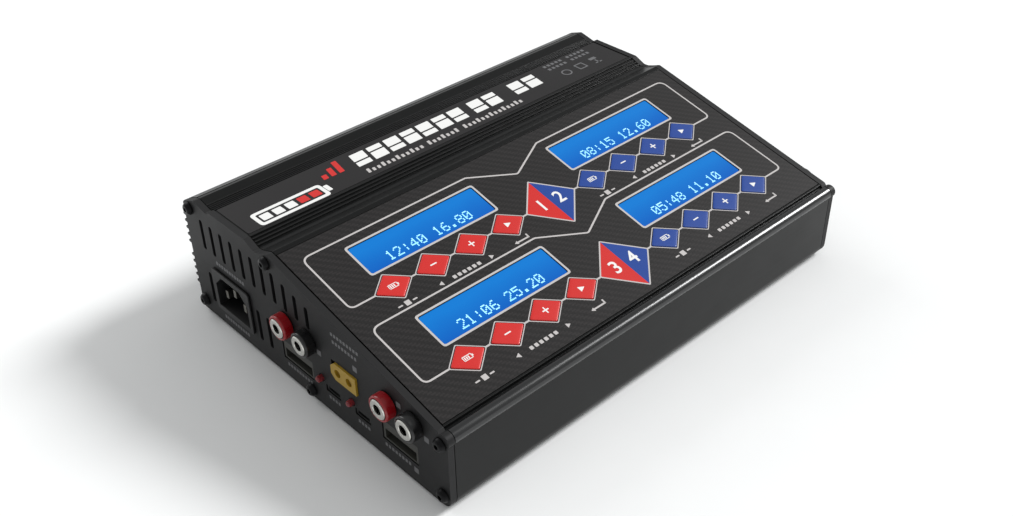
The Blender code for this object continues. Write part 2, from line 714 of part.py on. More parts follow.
def make_fan():
    """40 mm fan: a square frame with a round duct, and a rotor that spins on the frame's bearing."""
    outer = PLATE_IN - GAP
    inner = outer - FAN_DEPTH
    frame = boxes("fan_frame", [((FAN_DEPTH, FAN_SIZE, FAN_SIZE),
                                 ((inner + outer) / 2, FAN_Y, FAN_Z))], BLACK_PLASTIC, case)
    bm = bmesh.new()
    turned_x(bm, [(inner - 1, 0), (inner - 1, FAN_DUCT_R), (outer + 1, FAN_DUCT_R),
                  (outer + 1, 0)], 32, (0, FAN_Y, FAN_Z))
    cut(frame, finish_mesh("fan_duct", bm, None, case))
    spokes = [((1.6, 2.4, FAN_SIZE - 1.0), (inner + 0.8, FAN_Y, FAN_Z)),
              ((1.59, FAN_SIZE - 1.1, 2.38), (inner + 0.8, FAN_Y, FAN_Z))]
    for k, spoke in enumerate(spokes):
        fuse(frame, boxes("fan_spoke_" + str(k), [spoke], None, case))
    bm = bmesh.new()
    turned_x(bm, [(inner, 0), (inner, FAN_HUB_R), (inner + 2, FAN_HUB_R), (inner + 2, 0)],
             24, (0, FAN_Y, FAN_Z))
    fuse(frame, finish_mesh("fan_bearing", bm, None, case))
    bm = bmesh.new()
    turned_x(bm, [(inner - 1, 0), (inner - 1, FAN_BORE_R), (inner + 3, FAN_BORE_R),
                  (inner + 3, 0)], 24, (0, FAN_Y, FAN_Z))
    cut(frame, finish_mesh("fan_bearing_bore", bm, None, case))
    make_rotor(inner)


def make_rotor(inner):
    """Hub, shaft and blades, with the object's origin on the shaft."""
    start, end = 2.6, 8.8
    bm = bmesh.new()
    turned_x(bm, [(0.4, 0), (0.4, FAN_SHAFT_R), (start, FAN_SHAFT_R), (start, FAN_HUB_R - 0.5),
                  (end, FAN_HUB_R - 0.5), (end, 0)], 24)
    rotor = place(finish_mesh("fan_rotor", bm, BLACK_PLASTIC, case, 40), inner, FAN_Y, FAN_Z)
    bm = bmesh.new()
    for k in range(FAN_BLADES):
        turn = 2 * math.pi * k / FAN_BLADES
        add_blade(bm, turn, start + 0.3, end - 0.3)
    blades = place(finish_mesh("fan_blades", bm, None, case), inner, FAN_Y, FAN_Z)
    fuse(rotor, blades)


def add_blade(bm, turn, x0, x1):
    """A flat twisted blade: it leads at the hub and trails at the tip."""
    thick, root, tip = 0.9, FAN_HUB_R - 1.5, FAN_DUCT_R - 0.8
    rings = []
    for radius, sweep in ((root, 0.28), (tip, 0.46)):
        ring = []
        for x, ahead in ((x0, -0.5), (x1, 0.5)):
            for offset in (-0.5, 0.5):
                angle = turn + ahead * sweep + offset * thick / radius
                ring.append(bm.verts.new((x, radius * math.cos(angle), radius * math.sin(angle))))
        rings.append([ring[0], ring[1], ring[3], ring[2]])
    low, high = rings
    bm.faces.new(low)
    bm.faces.new(high)
    for i in range(4):
        j = (i + 1) % 4
        bm.faces.new((low[i], low[j], high[j], high[i]))


def make_feet():
    """Round rubber feet under the case's four corners."""
    radius = 5.5
    for x_name, x in (("left", -96.0), ("right", 96.0)):
        for y_name, y in (("front", -68.0), ("back", 60.0)):
            bm = bmesh.new()
            bmesh.ops.create_cone(bm, cap_ends=True, segments=24, radius1=radius - 0.5,
                                  radius2=radius, depth=FOOT_HEIGHT - 0.05)
            foot = finish_mesh("foot_" + x_name + "_" + y_name, bm, RUBBER, None, 40)
            place(foot, x, y, (FOOT_HEIGHT - 0.05) / 2)


make_case()
make_base()
make_end_plates()
make_screws()
make_overlay()
make_displays()
make_keys()
make_switch_board()
make_bananas()
make_balance_sockets()
make_dc_inlet()
make_ac_inlet()
make_main_board()
make_power_board()
make_fan()
make_feet()
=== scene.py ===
# %% [markdown]
# # A four-channel balance battery charger
#
# The charger is a black aluminium extrusion with two end plates. Its sloping deck carries four
# blue character displays and sixteen diamond keys under a printed film. Each end plate carries
# the sockets of two channels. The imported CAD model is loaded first: it fixes every size and
# place, and the pieces below are built around it.

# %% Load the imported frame
import json
import math
from functools import partial

import bmesh
import bpy
from mathutils import Matrix, Vector


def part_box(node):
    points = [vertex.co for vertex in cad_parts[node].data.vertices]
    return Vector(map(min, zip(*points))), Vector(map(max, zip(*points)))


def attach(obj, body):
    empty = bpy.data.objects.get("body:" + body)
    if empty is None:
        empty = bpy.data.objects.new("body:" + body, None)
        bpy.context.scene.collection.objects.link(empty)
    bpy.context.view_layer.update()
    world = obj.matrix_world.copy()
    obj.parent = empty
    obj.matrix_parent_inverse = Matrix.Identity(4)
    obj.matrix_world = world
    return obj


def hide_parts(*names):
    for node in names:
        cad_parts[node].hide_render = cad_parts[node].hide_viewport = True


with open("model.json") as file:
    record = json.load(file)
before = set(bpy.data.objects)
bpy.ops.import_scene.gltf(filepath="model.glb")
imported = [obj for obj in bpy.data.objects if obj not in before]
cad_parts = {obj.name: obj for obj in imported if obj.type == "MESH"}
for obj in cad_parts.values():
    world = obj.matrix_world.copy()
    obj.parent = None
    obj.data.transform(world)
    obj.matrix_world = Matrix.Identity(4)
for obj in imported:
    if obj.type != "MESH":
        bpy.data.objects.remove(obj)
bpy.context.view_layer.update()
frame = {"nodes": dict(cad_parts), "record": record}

# %% [markdown]
# ## Sizes
#
# Everything is worked out in millimetres and turned to metres at the end. The case's cross
# section, in (y, z), is the main rule of the whole object: the extrusion follows it from end to
# end and the end plates copy it. The deck leans 13.3 degrees, so what lies on it is drawn flat,
# with v running up the slope, and is then turned on to the deck.

# %% Driving sizes
MM = 0.001
CASE_BOTTOM = 1.6
CREST = (17.1, 60.3)
DECK_ANGLE = math.radians(13.3)
FRONT_Y = -89.7
BACK_Y = 81.5
TOP_Z = 59.9
BEAD = (-87.6, 33.5, 2.89)
ROW_PITCH = 44.3
SLOT_PITCH = 7.55
FAN_CENTRE = (48.0, 28.0)
SIDES = ("left", "right")
SIGN = {"left": -1, "right": 1}
TURN = {"left": math.pi, "right": 0.0}


def size_mm(node):
    """Lowest and highest corner of a CAD node in millimetres."""
    low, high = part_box(node)
    return low / MM, high / MM


PLATE_OUT = size_mm("end_plate_right")[1].x
PLATE_IN = size_mm("end_plate_right")[0].x
CASE_END = size_mm("upper_case")[1].x
DECK = (Matrix.Translation((0, CREST[0], CREST[1] + CASE_BOTTOM))
        @ Matrix.Rotation(DECK_ANGLE, 4, "X"))
LIFT = Matrix.Translation((0, 0, CASE_BOTTOM))
print("case from", -CASE_END, "to", CASE_END, "plates to", PLATE_OUT)

# %% [markdown]
# ## Outlines
#
# A machined or extruded edge is never perfectly sharp, and the small radius is what catches the
# light. `filleted` rounds the corners of an outline, each by its own radius. `stroke` turns a
# line into the outline of a printed stripe.


# %% Outline helpers
def filleted(corners, closed=True, steps=4):
    """Rounds an outline of (x, y, radius) corners. A radius of 0 leaves a corner sharp."""
    points = []
    count = len(corners)
    for i, (x, y, radius) in enumerate(corners):
        corner = Vector((x, y))
        if radius == 0 or (not closed and i in (0, count - 1)):
            points.append(corner)
            continue
        before = Vector(corners[i - 1][:2]) - corner
        after = Vector(corners[(i + 1) % count][:2]) - corner
        half = before.angle(after) / 2
        reach = min(radius / math.tan(half), 0.48 * before.length, 0.48 * after.length)
        start = corner + before.normalized() * reach
        end = corner + after.normalized() * reach
        for k in range(steps + 1):
            u = k / steps
            points.append(start * (1 - u) ** 2 + corner * 2 * u * (1 - u) + end * u ** 2)
    return [(p.x, p.y) for p in points]


def sharp(points):
    return [(x, y, 0) for x, y in points]


def arc(cx, cy, radius, start, end, steps):
    """Points on an arc, with angles in degrees."""
    angles = [math.radians(start + (end - start) * i / steps) for i in range(steps + 1)]
    return [(cx + radius * math.cos(a), cy + radius * math.sin(a)) for a in angles]


def rounded_rect(cx, cy, width, height, radius, steps=4):
    w, h = width / 2, height / 2
    corners = [(cx + w, cy - h), (cx + w, cy + h), (cx - w, cy + h), (cx - w, cy - h)]
    return filleted([(x, y, radius) for x, y in corners], steps=steps)


def diamond(cx, cy, half_width, half_height, radius=0.8, steps=4):
    corners = [(cx + half_width, cy), (cx, cy + half_height), (cx - half_width, cy),
               (cx, cy - half_height)]
    return filleted([(x, y, radius) for x, y in corners], steps=steps)


def stroke(line, width, closed=False):
    """Outline, or for a closed line the outer and inner outlines, of a stripe along a line."""
    points = [Vector(p) for p in line]
    sides = ([], [])
    for i, p in enumerate(points):
        before = p - points[i - 1] if (closed or i) else points[1] - p
        after = points[(i + 1) % len(points)] - p if (closed or i < len(points) - 1) else before
        normal = (before.normalized() + after.normalized()).orthogonal().normalized()
        spread = width / 2 / max(0.4, normal.dot(before.orthogonal().normalized()))
        sides[0].append(tuple(p + normal * spread))
        sides[1].append(tuple(p - normal * spread))
    return sides if closed else sides[0] + sides[1][::-1]


# %% [markdown]
# ## Meshes
#
# Each piece is drawn in its own flat millimetre plane and carried to its place by a matrix, so
# that the finished object sits at the origin with its place in its mesh. `PLATE_PLANES` are the
# outer faces of the two end plates: the first number runs to the back and the second one up.


# %% Mesh helpers
def plane(x, side=1):
    """Turns (y, z, out) of an end plate's face into case coordinates. Out leaves the case."""
    return LIFT @ Matrix(((0, 0, side, x), (1, 0, 0, 0), (0, 1, 0, 0), (0, 0, 0, 1)))


PLATE_PLANES = {"left": plane(-PLATE_OUT, -1), "right": plane(PLATE_OUT, 1)}


def add_prism(bm, outline, low, high, paint=0):
    """Adds the closed prism of a flat outline from height low to high."""
    floor = [bm.verts.new((x, y, low)) for x, y in outline]
    roof = [bm.verts.new((x, y, high)) for x, y in outline]
    faces = [bm.faces.new(floor[::-1]), bm.faces.new(roof)]
    for i in range(len(outline)):
        j = (i + 1) % len(outline)
        faces.append(bm.faces.new((floor[i], floor[j], roof[j], roof[i])))
    for face in faces:
        face.material_index = paint
    return faces


def add_ring(bm, outer, inner, low, high, paint=0):
    """Adds a closed flat ring between two outlines with the same number of points."""
    loops = [[bm.verts.new((x, y, z)) for x, y in outline]
             for outline, z in ((outer, low), (outer, high), (inner, high), (inner, low))]
    for loop, following in zip(loops, loops[1:] + loops[:1]):
        for i in range(len(outer)):
            j = (i + 1) % len(outer)
            face = bm.faces.new((loop[i], loop[j], following[j], following[i]))
            face.material_index = paint


def add_lathe(bm, profile, steps, paint=0):
    """Adds the solid that a profile of (z, radius) points makes when it turns about Z."""
    closed = profile[0] == profile[-1]
    points = profile[:-1] if closed else profile
    rings = []
    for z, radius in points:
        count = 1 if radius == 0 else steps
        rings.append([bm.verts.new((radius * math.cos(2 * math.pi * k / steps),
                                    radius * math.sin(2 * math.pi * k / steps), z))
                      for k in range(count)])
    pairs = list(zip(rings, rings[1:])) + ([(rings[-1], rings[0])] if closed else [])
    for a, b in pairs:
        for k in range(steps):
            j = (k + 1) % steps
            corners = [a[k % len(a)], a[j % len(a)], b[j % len(b)], b[k % len(b)]]
            face = bm.faces.new(list(dict.fromkeys(corners)))
            face.material_index = paint


def add_object(name, data):
    obj = bpy.data.objects.new(name, data)
    bpy.context.scene.collection.objects.link(obj)
    return obj


def new_object(name, bm, place, materials=(), smooth=None):
    """Makes an object from millimetre shapes, its faces outwards and its place in its mesh."""
    bmesh.ops.transform(bm, matrix=Matrix.Scale(MM, 4) @ place, verts=bm.verts)
    bmesh.ops.recalc_face_normals(bm, faces=bm.faces)
    mesh = bpy.data.meshes.new(name)
    bm.to_mesh(mesh)
    bm.free()
    if smooth:
        mesh.shade_smooth()
        mesh.set_sharp_from_angle(angle=math.radians(smooth))
    for mat in materials:
        mesh.materials.append(mat)
    return add_object(name, mesh)


def made_real(obj, smooth=None):
    """Turns an object's modifiers into plain mesh."""
    bpy.context.view_layer.update()
    graph = bpy.context.evaluated_depsgraph_get()
    mesh = bpy.data.meshes.new_from_object(obj.evaluated_get(graph))
    obj.modifiers.clear()
    obj.data = mesh
    return smoothed(obj, smooth) if smooth else obj


def smoothed(obj, angle):
    """Smooth shading up to an angle, with normals that keep the large flat faces flat."""
    obj.data.shade_smooth()
    obj.data.set_sharp_from_angle(angle=math.radians(angle))
    modifier = obj.modifiers.new("flat_faces", "WEIGHTED_NORMAL")
    modifier.keep_sharp = True
    return made_real(obj)


def finish_piece(obj, replaces=(), body="case"):
    """Puts a piece on the body it moves with and hides the CAD nodes it stands for."""
    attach(obj, body)
    if replaces:
        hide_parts(*replaces)
    print(obj.name, "faces:", len(obj.data.polygons))
    return obj


def bevel(obj, width):
    """Breaks every edge sharper than 40 degrees. The width is in millimetres."""
    modifier = obj.modifiers.new("edge", "BEVEL")
    modifier.width = width * MM
    modifier.segments = 2
    modifier.limit_method = "ANGLE"
    modifier.angle_limit = math.radians(40)
    return obj


def cut_with(obj, *cutters):
    """Cuts other objects out of a piece and removes them."""
    for cutter in cutters:
        modifier = obj.modifiers.new("cut", "BOOLEAN")
        modifier.solver = "EXACT"
        modifier.object = cutter
    made_real(obj)
    for cutter in cutters:
        bpy.data.objects.remove(cutter)
    return obj


# %% [markdown]
# ## Materials
#
# A material here starts from what the real one is and how its surface was made. Most surfaces on
# this charger are one colour with a fine grain: the blasted end plates, the drawn extrusion, the
# moulded plastics, the screen-printed inks. Their colour, gloss and height all follow one noise
# whose grain has a real size, and a second, larger noise for handling marks. `finish` builds
# that, and what differs is in its numbers. Patterns read Object coordinates, which are metres.


# %% Material helpers
MARK_SIZE = 18


def linear(hex_colour):
    """Turns an sRGB hex colour into the linear values that a shader uses."""
    parts = [int(hex_colour[i:i + 2], 16) / 255 for i in (1, 3, 5)]
    return tuple(c / 12.92 if c <= 0.04045 else ((c + 0.055) / 1.055) ** 2.4
                 for c in parts) + (1.0,)


def feed(node, inputs):
    """Fills a node's inputs, by name or number. A node or socket is linked, a value is set."""
    for key, value in inputs.items():
        if isinstance(value, bpy.types.Node):
            value = next(output for output in value.outputs if output.enabled)
        if isinstance(value, bpy.types.NodeSocket):
            node.id_data.links.new(value, node.inputs[key])
        else:
            node.inputs[key].default_value = value
    return node


def add_node(tree, kind, inputs=(), **settings):
    node = tree.nodes.new(kind)
    for key, value in settings.items():
        setattr(node, key, value)
    return feed(node, dict(inputs))


def start_material(name, shader_values):
    """A material, the function that adds its nodes, its shader, and the object's place."""
    mat = bpy.data.materials.new(name)
    mat.use_nodes = True
    add = partial(add_node, mat.node_tree)
    shader = feed(mat.node_tree.nodes["Principled BSDF"], shader_values)
    return mat, add, shader, add("ShaderNodeTexCoord").outputs["Object"]


def finish(name, dark, light, grain, rough, height, stretch=(1, 1, 1), **shader_values):
    """One-colour surface: grain and height in millimetres, rough as (lowest, highest)."""
    values = {key.replace("_", " "): value for key, value in shader_values.items()}
    mat, add, shader, place = start_material(name, values)
    drawn = add("ShaderNodeMapping", {"Vector": place, "Scale": stretch})
    fine = add("ShaderNodeTexNoise", {"Vector": drawn, "Detail": 4.0, "Roughness": 0.6,
                                      "Scale": 1 / (grain * MM)})
    marks = add("ShaderNodeTexNoise", {"Vector": place, "Detail": 3.0,
                                       "Scale": 1 / (MARK_SIZE * MM)})
    colour = add("ShaderNodeMix", {"Factor": fine, "A": linear(dark), "B": linear(light)},
                 data_type="RGBA")
    both = add("ShaderNodeMath", {0: fine, 1: marks})
    gloss = add("ShaderNodeMapRange", {"Value": both, "From Min": 0.6, "From Max": 1.4,
                                       "To Min": rough[0], "To Max": rough[1]})
    bump = add("ShaderNodeBump", {"Height": fine, "Strength": 0.6, "Distance": height * MM})
    feed(shader, {"Base Color": colour, "Roughness": gloss, "Normal": bump})
    return mat


# %% [markdown]
# ### Metals
#
# The case is 6063 aluminium pushed through a die and black anodised: the die leaves faint lines
# along X, which stretch every reflection across them. The end plates are cut from sheet, glass
# bead blasted and anodised, so they are greyer and have no direction. The socket rings are
# nickel plated brass, the screws are black oxide steel.

# %% Metals
DRAWN = (0.02, 1, 1)
ANODISED = finish("black_anodised_extruded_aluminium", "#070808", "#0f1010", 0.5, (0.28, 0.4),
                  0.004, DRAWN, Metallic=0.1, Specular_IOR_Level=0.22)
# The bead gets a copy of the case's anodised finish that is glossier and lighter in colour: the
# lower roughness is real gloss, and the lighter colour is a painted highlight along the bead.
BEAD_GLOSS_AND_PAINTED_HIGHLIGHT = finish("burnished_anodised_bead", "#161718", "#232425", 0.5, (0.2, 0.27), 0.002,
                   DRAWN, Metallic=0.3, Specular_IOR_Level=0.9)
BLASTED = finish("bead_blasted_anodised_aluminium", "#131314", "#1c1c1d", 0.35, (0.5, 0.62),
                 0.01, Metallic=0.2, Specular_IOR_Level=0.35)
NICKEL = finish("nickel_plated_brass", "#c9c8c2", "#e2e1dc", 0.8, (0.18, 0.3), 0.002,
                Metallic=1.0)
# The mains inlet's pins are metal, but their colour is made much darker than plated brass: painted
# shade for the inside of the inlet's recess.
INLET_PIN_PAINTED_SHADE = finish("tinned_brass_pin", "#6b6963", "#83817a", 0.8, (0.3, 0.42), 0.002,
                Metallic=1.0)
PIN_GOLD = finish("gold_flashed_contact", "#b98a3c", "#dcb565", 0.5, (0.22, 0.35), 0.002,
                  Metallic=1.0)
BLACK_OXIDE = finish("black_oxide_steel", "#08080a", "#131315", 0.25, (0.32, 0.46), 0.006,
                     Metallic=0.7)

# %% [markdown]
# ### Plastics and rubber
#
# The moulded parts differ in gloss: polished moulds for the socket collars, a spark-eroded
# texture for the inlets and nylon that keeps a slightly waxy, mottled look. The keys are domed
# printed caps with a clear satin coat.

# %% Plastics and rubber
RED_COLLAR = finish("moulded_red_nylon", "#8a0a14", "#a01019", 1.2, (0.24, 0.34), 0.002,
                    Coat_Weight=0.2)
BLACK_COLLAR = finish("moulded_black_nylon", "#0b0b0c", "#131314", 1.2, (0.26, 0.36), 0.002,
                      Coat_Weight=0.15)
YELLOW_NYLON = finish("moulded_yellow_nylon", "#94761a", "#ad8c25", 0.9, (0.36, 0.5), 0.01)
GREY_NYLON = finish("moulded_grey_nylon", "#2b2b27", "#383833", 0.9, (0.42, 0.55), 0.01)
TEXTURED_BLACK = finish("spark_textured_black_polycarbonate", "#101011", "#1a1a1b", 0.3,
                        (0.45, 0.6), 0.015)
KEY_RED, KEY_BLUE = ("#c21a17", "#cf241f"), ("#0b3684", "#124398")
RED_CAP = finish("red_key_cap", *KEY_RED, 0.4, (0.32, 0.42), 0.006, Coat_Weight=0.1)
BLUE_CAP = finish("blue_key_cap", *KEY_BLUE, 0.4, (0.32, 0.42), 0.006, Coat_Weight=0.1)
LED_RED = finish("diffused_red_led", "#5e1c24", "#71242d", 0.6, (0.28, 0.42), 0.004,
                 Subsurface_Weight=0.2)
RUBBER = finish("moulded_rubber", "#0e0e0e", "#1a1a1a", 0.3, (0.72, 0.9), 0.03)
FAN_BLACK = finish("glass_filled_black_nylon", "#0b0b0c", "#141415", 0.5, (0.45, 0.6), 0.01)

# %% [markdown]
# ### Printed inks
#
# The marks are screen printed in a thin layer that stands a few hundredths of a millimetre
# proud, so each one is real geometry. The ink is matt and slightly uneven in density.

# %% Inks
WHITE_INK = finish("white_screen_ink", "#dededc", "#f0f0ee", 0.3, (0.45, 0.6), 0.004)
GREY_INK = finish("grey_screen_ink", "#b3afae", "#c4c0be", 0.3, (0.45, 0.6), 0.004)
DIM_INK = finish("thin_grey_screen_ink", "#58585a", "#6a6a6c", 0.3, (0.5, 0.65), 0.004)
RED_INK = finish("red_screen_ink", *KEY_RED, 0.3, (0.3, 0.42), 0.004)
BLUE_INK = finish("blue_screen_ink", *KEY_BLUE, 0.3, (0.3, 0.42), 0.004)
LABEL_FILM = finish("satin_charcoal_label_film", "#121011", "#1a1819", 0.5, (0.34, 0.46), 0.003,
                    Specular_IOR_Level=0.35)

# %% [markdown]
# ### Carbon-look keypad film
#
# The keypad is a polyester film printed on its back with a twill weave: each tow passes over two
# and under two, and the crossings step along by one, which makes the diagonal. The real tows are
# under a millimetre wide. They are drawn 1.1 mm wide here so that the weave shows at this size.
# The pattern is worked out from the tow numbers across and along the deck: their sum, counted
# in fours, says which of the two sets of tows lies on top.


# %% Keypad film
TOW_WIDTH = 1.1


def carbon_film():
    mat, add, shader, place = start_material("carbon_print_polyester_film",
                                             {"Specular IOR Level": 0.35})
    turned = add("ShaderNodeMapping", {"Vector": place, "Rotation": (-DECK_ANGLE, 0, 0),
                                       "Scale": [1 / (TOW_WIDTH * MM)] * 3})
    axes = add("ShaderNodeSeparateXYZ", {0: turned}).outputs[:2]
    tows = [add("ShaderNodeMath", {0: axis}, operation="FLOOR") for axis in axes]
    step = add("ShaderNodeMath", {0: tows[0], 1: tows[1]})
    phase = add("ShaderNodeMath", {0: step, 1: 4.0}, operation="FLOORED_MODULO")
    on_top = add("ShaderNodeMath", {0: phase, 1: 1.5}, operation="GREATER_THAN")
    rounds = []
    for axis in axes:
        part = add("ShaderNodeMath", {0: axis}, operation="FRACT")
        wave = add("ShaderNodeMath", {0: part, 1: math.pi}, operation="MULTIPLY")
        rounds.append(add("ShaderNodeMath", {0: wave}, operation="SINE"))
    crown = add("ShaderNodeMix", {"Factor": on_top, "A": rounds[0], "B": rounds[1]},
                data_type="FLOAT")
    grain = add("ShaderNodeTexNoise", {"Vector": place, "Scale": 1 / (0.6 * MM), "Detail": 3.0})
    tone = add("ShaderNodeMath", {0: crown, 1: on_top, 2: grain}, operation="MULTIPLY_ADD")
    share = add("ShaderNodeMapRange", {"Value": tone, "From Max": 2.0})
    colour = add("ShaderNodeMix", {"Factor": share, "A": linear("#090808"),
                                   "B": linear("#292626")}, data_type="RGBA")
    gloss = add("ShaderNodeMapRange", {"Value": grain, "To Min": 0.34, "To Max": 0.5})
    bump = add("ShaderNodeBump", {"Height": crown, "Strength": 0.3, "Distance": 0.01 * MM})
    feed(shader, {"Base Color": colour, "Roughness": gloss, "Normal": bump})
    return mat


CARBON_FILM = carbon_film()

# %% [markdown]
# ### Displays and circuit board
#
# The displays are blue negative character modules with a light behind them: the glass glows, a
# little brighter along its back edge, and the lit dots are paler. The board is green solder
# resist over copper tracks, which read as slightly lighter lines.


# %% Display glass and circuit board
DISPLAY_HEIGHT = 15.9
DISPLAY_V = -23.4
UP_SLOPE = Vector((0, math.cos(DECK_ANGLE), math.sin(DECK_ANGLE)))
DISPLAY_PHASE = DISPLAY_HEIGHT / 2 - DISPLAY_V - UP_SLOPE.dot(DECK.translation)


def display_glass():
    """Backlit glass whose light falls off down the slope of each display."""
    mat, add, shader, place = start_material("backlit_blue_display_glass",
                                             {"Roughness": 0.25, "Emission Strength": 0.75,
                                              "Specular IOR Level": 0.2})
    turned = add("ShaderNodeMapping", {"Vector": place, "Rotation": (-DECK_ANGLE, 0, 0)})
    along = add("ShaderNodeSeparateXYZ", {0: turned}).outputs["Y"]
    row = add("ShaderNodeMath", {0: along, 1: DISPLAY_PHASE * MM}, operation="ADD")
    within = add("ShaderNodeMath", {0: row, 1: ROW_PITCH * MM}, operation="FLOORED_MODULO")
    height = add("ShaderNodeMapRange", {"Value": within, "From Max": DISPLAY_HEIGHT * MM})
    cloud = add("ShaderNodeTexNoise", {"Vector": place, "Scale": 1 / (22 * MM)})
    light = add("ShaderNodeMath", {0: cloud, 1: 0.35, 2: height}, operation="MULTIPLY_ADD")
    blue, shade = [add("ShaderNodeMix", {"Factor": light, "A": linear(low), "B": linear(high)},
                       data_type="RGBA")
                   for low, high in (("#0060cb", "#0a86e0"), ("#001f48", "#002a5c"))]
    feed(shader, {"Base Color": shade, "Emission Color": blue})
    return mat


def lit_dots():
    mat, add, shader, place = start_material("lit_display_dots", {"Roughness": 0.3,
                                                                  "Emission Strength": 0.5})
    cloud = add("ShaderNodeTexNoise", {"Vector": place, "Scale": 1 / (6 * MM)})
    pale = add("ShaderNodeMix", {"Factor": cloud, "A": linear("#7fd6f6"),
                                 "B": linear("#b4ecfb")}, data_type="RGBA")
    feed(shader, {"Base Color": pale, "Emission Color": pale})
    return mat


def circuit_board():
    """Solder resist with tracks: the edges of square cells stand for copper lines."""
    mat, add, shader, place = start_material("green_solder_resist", {"Coat Weight": 0.3})
    cells = add("ShaderNodeTexVoronoi", {"Vector": place, "Scale": 1 / (3.2 * MM),
                                         "Randomness": 0.8},
                distance="CHEBYCHEV", feature="DISTANCE_TO_EDGE")
    line = add("ShaderNodeMath", {0: cells.outputs["Distance"], 1: 0.06}, operation="LESS_THAN")
    green = add("ShaderNodeMix", {"Factor": line, "A": linear("#0c3d22"),
                                  "B": linear("#1d6a3c")}, data_type="RGBA")
    gloss = add("ShaderNodeMapRange", {"Value": line, "To Min": 0.35, "To Max": 0.5})
    feed(shader, {"Base Color": green, "Roughness": gloss})
    return mat


DISPLAY_GLASS = display_glass()
LIT_DOTS = lit_dots()
BOARD_GREEN = circuit_board()
print("materials:", len(bpy.data.materials))

# %% [markdown]
# ## Geometry Nodes: three small trees
#
# What repeats, or follows a rule, is grown by Geometry Nodes. Three trees cover this charger.
# `extrusion` pushes a flat section along X, as the press does. `row` repeats a shape at a fixed
# pitch and can leave one place empty, which is how the fins and the vent slots are laid out.
# `seats` puts a part at every point of a mesh and turns it by the point's own angle, which is
# how the screws, sockets and pins are placed. Each ends in Realize Instances and Set Material.


# %% Geometry Nodes helpers
def new_tree(name, **sockets):
    """A tree with geometry in and out, and a named input for each of its sizes."""
    tree = bpy.data.node_groups.new(name, "GeometryNodeTree")
    for label, kind in {"Geometry": "Geometry", **sockets}.items():
        tree.interface.new_socket(label.replace("_", " "), in_out="INPUT",
                                  socket_type="NodeSocket" + kind)
    tree.interface.new_socket("Geometry", in_out="OUTPUT", socket_type="NodeSocketGeometry")
    add = partial(add_node, tree)
    return add, add("NodeGroupInput").outputs


def end_tree(add, geometry, material):
    realized = add("GeometryNodeRealizeInstances", {0: geometry})
    painted = add("GeometryNodeSetMaterial", {"Geometry": realized, "Material": material})
    return add("NodeGroupOutput", {0: painted}).id_data


def extrusion_tree():
    add, given = new_tree("extrusion", Length="Float", Paint="Material")
    move = add("ShaderNodeCombineXYZ", {"X": given["Length"]})
    pushed = add("GeometryNodeExtrudeMesh", {"Mesh": given["Geometry"], "Offset": move,
                                             "Individual": False}, mode="FACES")
    back = add("GeometryNodeFlipFaces", {0: given["Geometry"]})
    both = feed(add("GeometryNodeJoinGeometry", {0: pushed}), {0: back})
    merged = add("GeometryNodeMergeByDistance", {"Geometry": both, "Distance": 1e-6})
    return end_tree(add, merged, given["Paint"])


def row_tree():
    add, given = new_tree("row", Count="Int", Pitch="Vector", Empty_Place="Int",
                          Paint="Material")
    line = add("GeometryNodeMeshLine", {"Count": given["Count"], "Offset": given["Pitch"]})
    is_empty = add("FunctionNodeCompare", {2: add("GeometryNodeInputIndex"),
                                           3: given["Empty Place"]},
                   data_type="INT", operation="EQUAL")
    places = add("GeometryNodeDeleteGeometry", {0: line, 1: is_empty})
    copies = add("GeometryNodeInstanceOnPoints", {"Points": places,
                                                  "Instance": given["Geometry"]})
    return end_tree(add, copies, given["Paint"])


def seats_tree():
    add, given = new_tree("seats", Part="Object", Paint="Material")
    part = add("GeometryNodeObjectInfo", {"Object": given["Part"]})
    turn = add("GeometryNodeInputNamedAttribute", {"Name": "turn"}, data_type="FLOAT")
    about_z = add("ShaderNodeCombineXYZ", {"Z": turn})
    rotation = add("FunctionNodeEulerToRotation", {0: about_z})
    copies = add("GeometryNodeInstanceOnPoints", {"Points": given["Geometry"],
                                                  "Instance": part.outputs["Geometry"],
                                                  "Rotation": rotation})
    return end_tree(add, copies, given["Paint"])


EXTRUSION, ROW, SEATS = extrusion_tree(), row_tree(), seats_tree()


def grow(obj, tree, smooth=None, **values):
    """Runs a tree on an object and makes the result real. Values are the tree's named inputs."""
    modifier = obj.modifiers.new(tree.name, "NODES")
    modifier.node_group = tree
    for item in tree.interface.items_tree:
        key = item.name.replace(" ", "_")
        if item.in_out == "INPUT" and key in values:
            modifier[item.identifier] = values[key]
    return made_real(obj, smooth)


def at_seats(name, part, seats, material, smooth=35):
    """Puts copies of a part at seats of (point, turn about Z) in case millimetres."""
    mesh = bpy.data.meshes.new(name)
    mesh.from_pydata([tuple(Vector(point) * MM) for point, turn in seats], [], [])
    turns = mesh.attributes.new("turn", "FLOAT", "POINT")
    turns.data.foreach_set("value", [turn for point, turn in seats])
    placed = grow(add_object(name, mesh), SEATS, smooth, Part=part, Paint=material)
    bpy.data.objects.remove(part)
    return placed


def plate_seats(side, places, out=0.0):
    """Seats for (y, z) places, in case millimetres, that face out of an end plate."""
    return [((SIGN[side] * (PLATE_OUT + out), y, z + CASE_BOTTOM), TURN[side])
            for y, z in places]


print("trees:", [tree.name for tree in (EXTRUSION, ROW, SEATS)])

# %% [markdown]
# ## The case
#
# The press makes this shape in one stroke, so it is drawn as one section: lip, front face, bead,
# deck with its recess for the keypad, crest, stepped ribs, label panel, groove, fine ribs, ridge
# and back wall. The tree extrudes it, and the deck's windows are then punched, as they are in
# the factory.


# %% Case section
def deck_point(s, depth):
    """(y, z) of a point s down the slope from the crest, and depth under the film's face."""
    cos, sin = math.cos(DECK_ANGLE), math.sin(DECK_ANGLE)
    return (CREST[0] - s * cos + depth * sin, CREST[1] - s * sin - depth * cos)


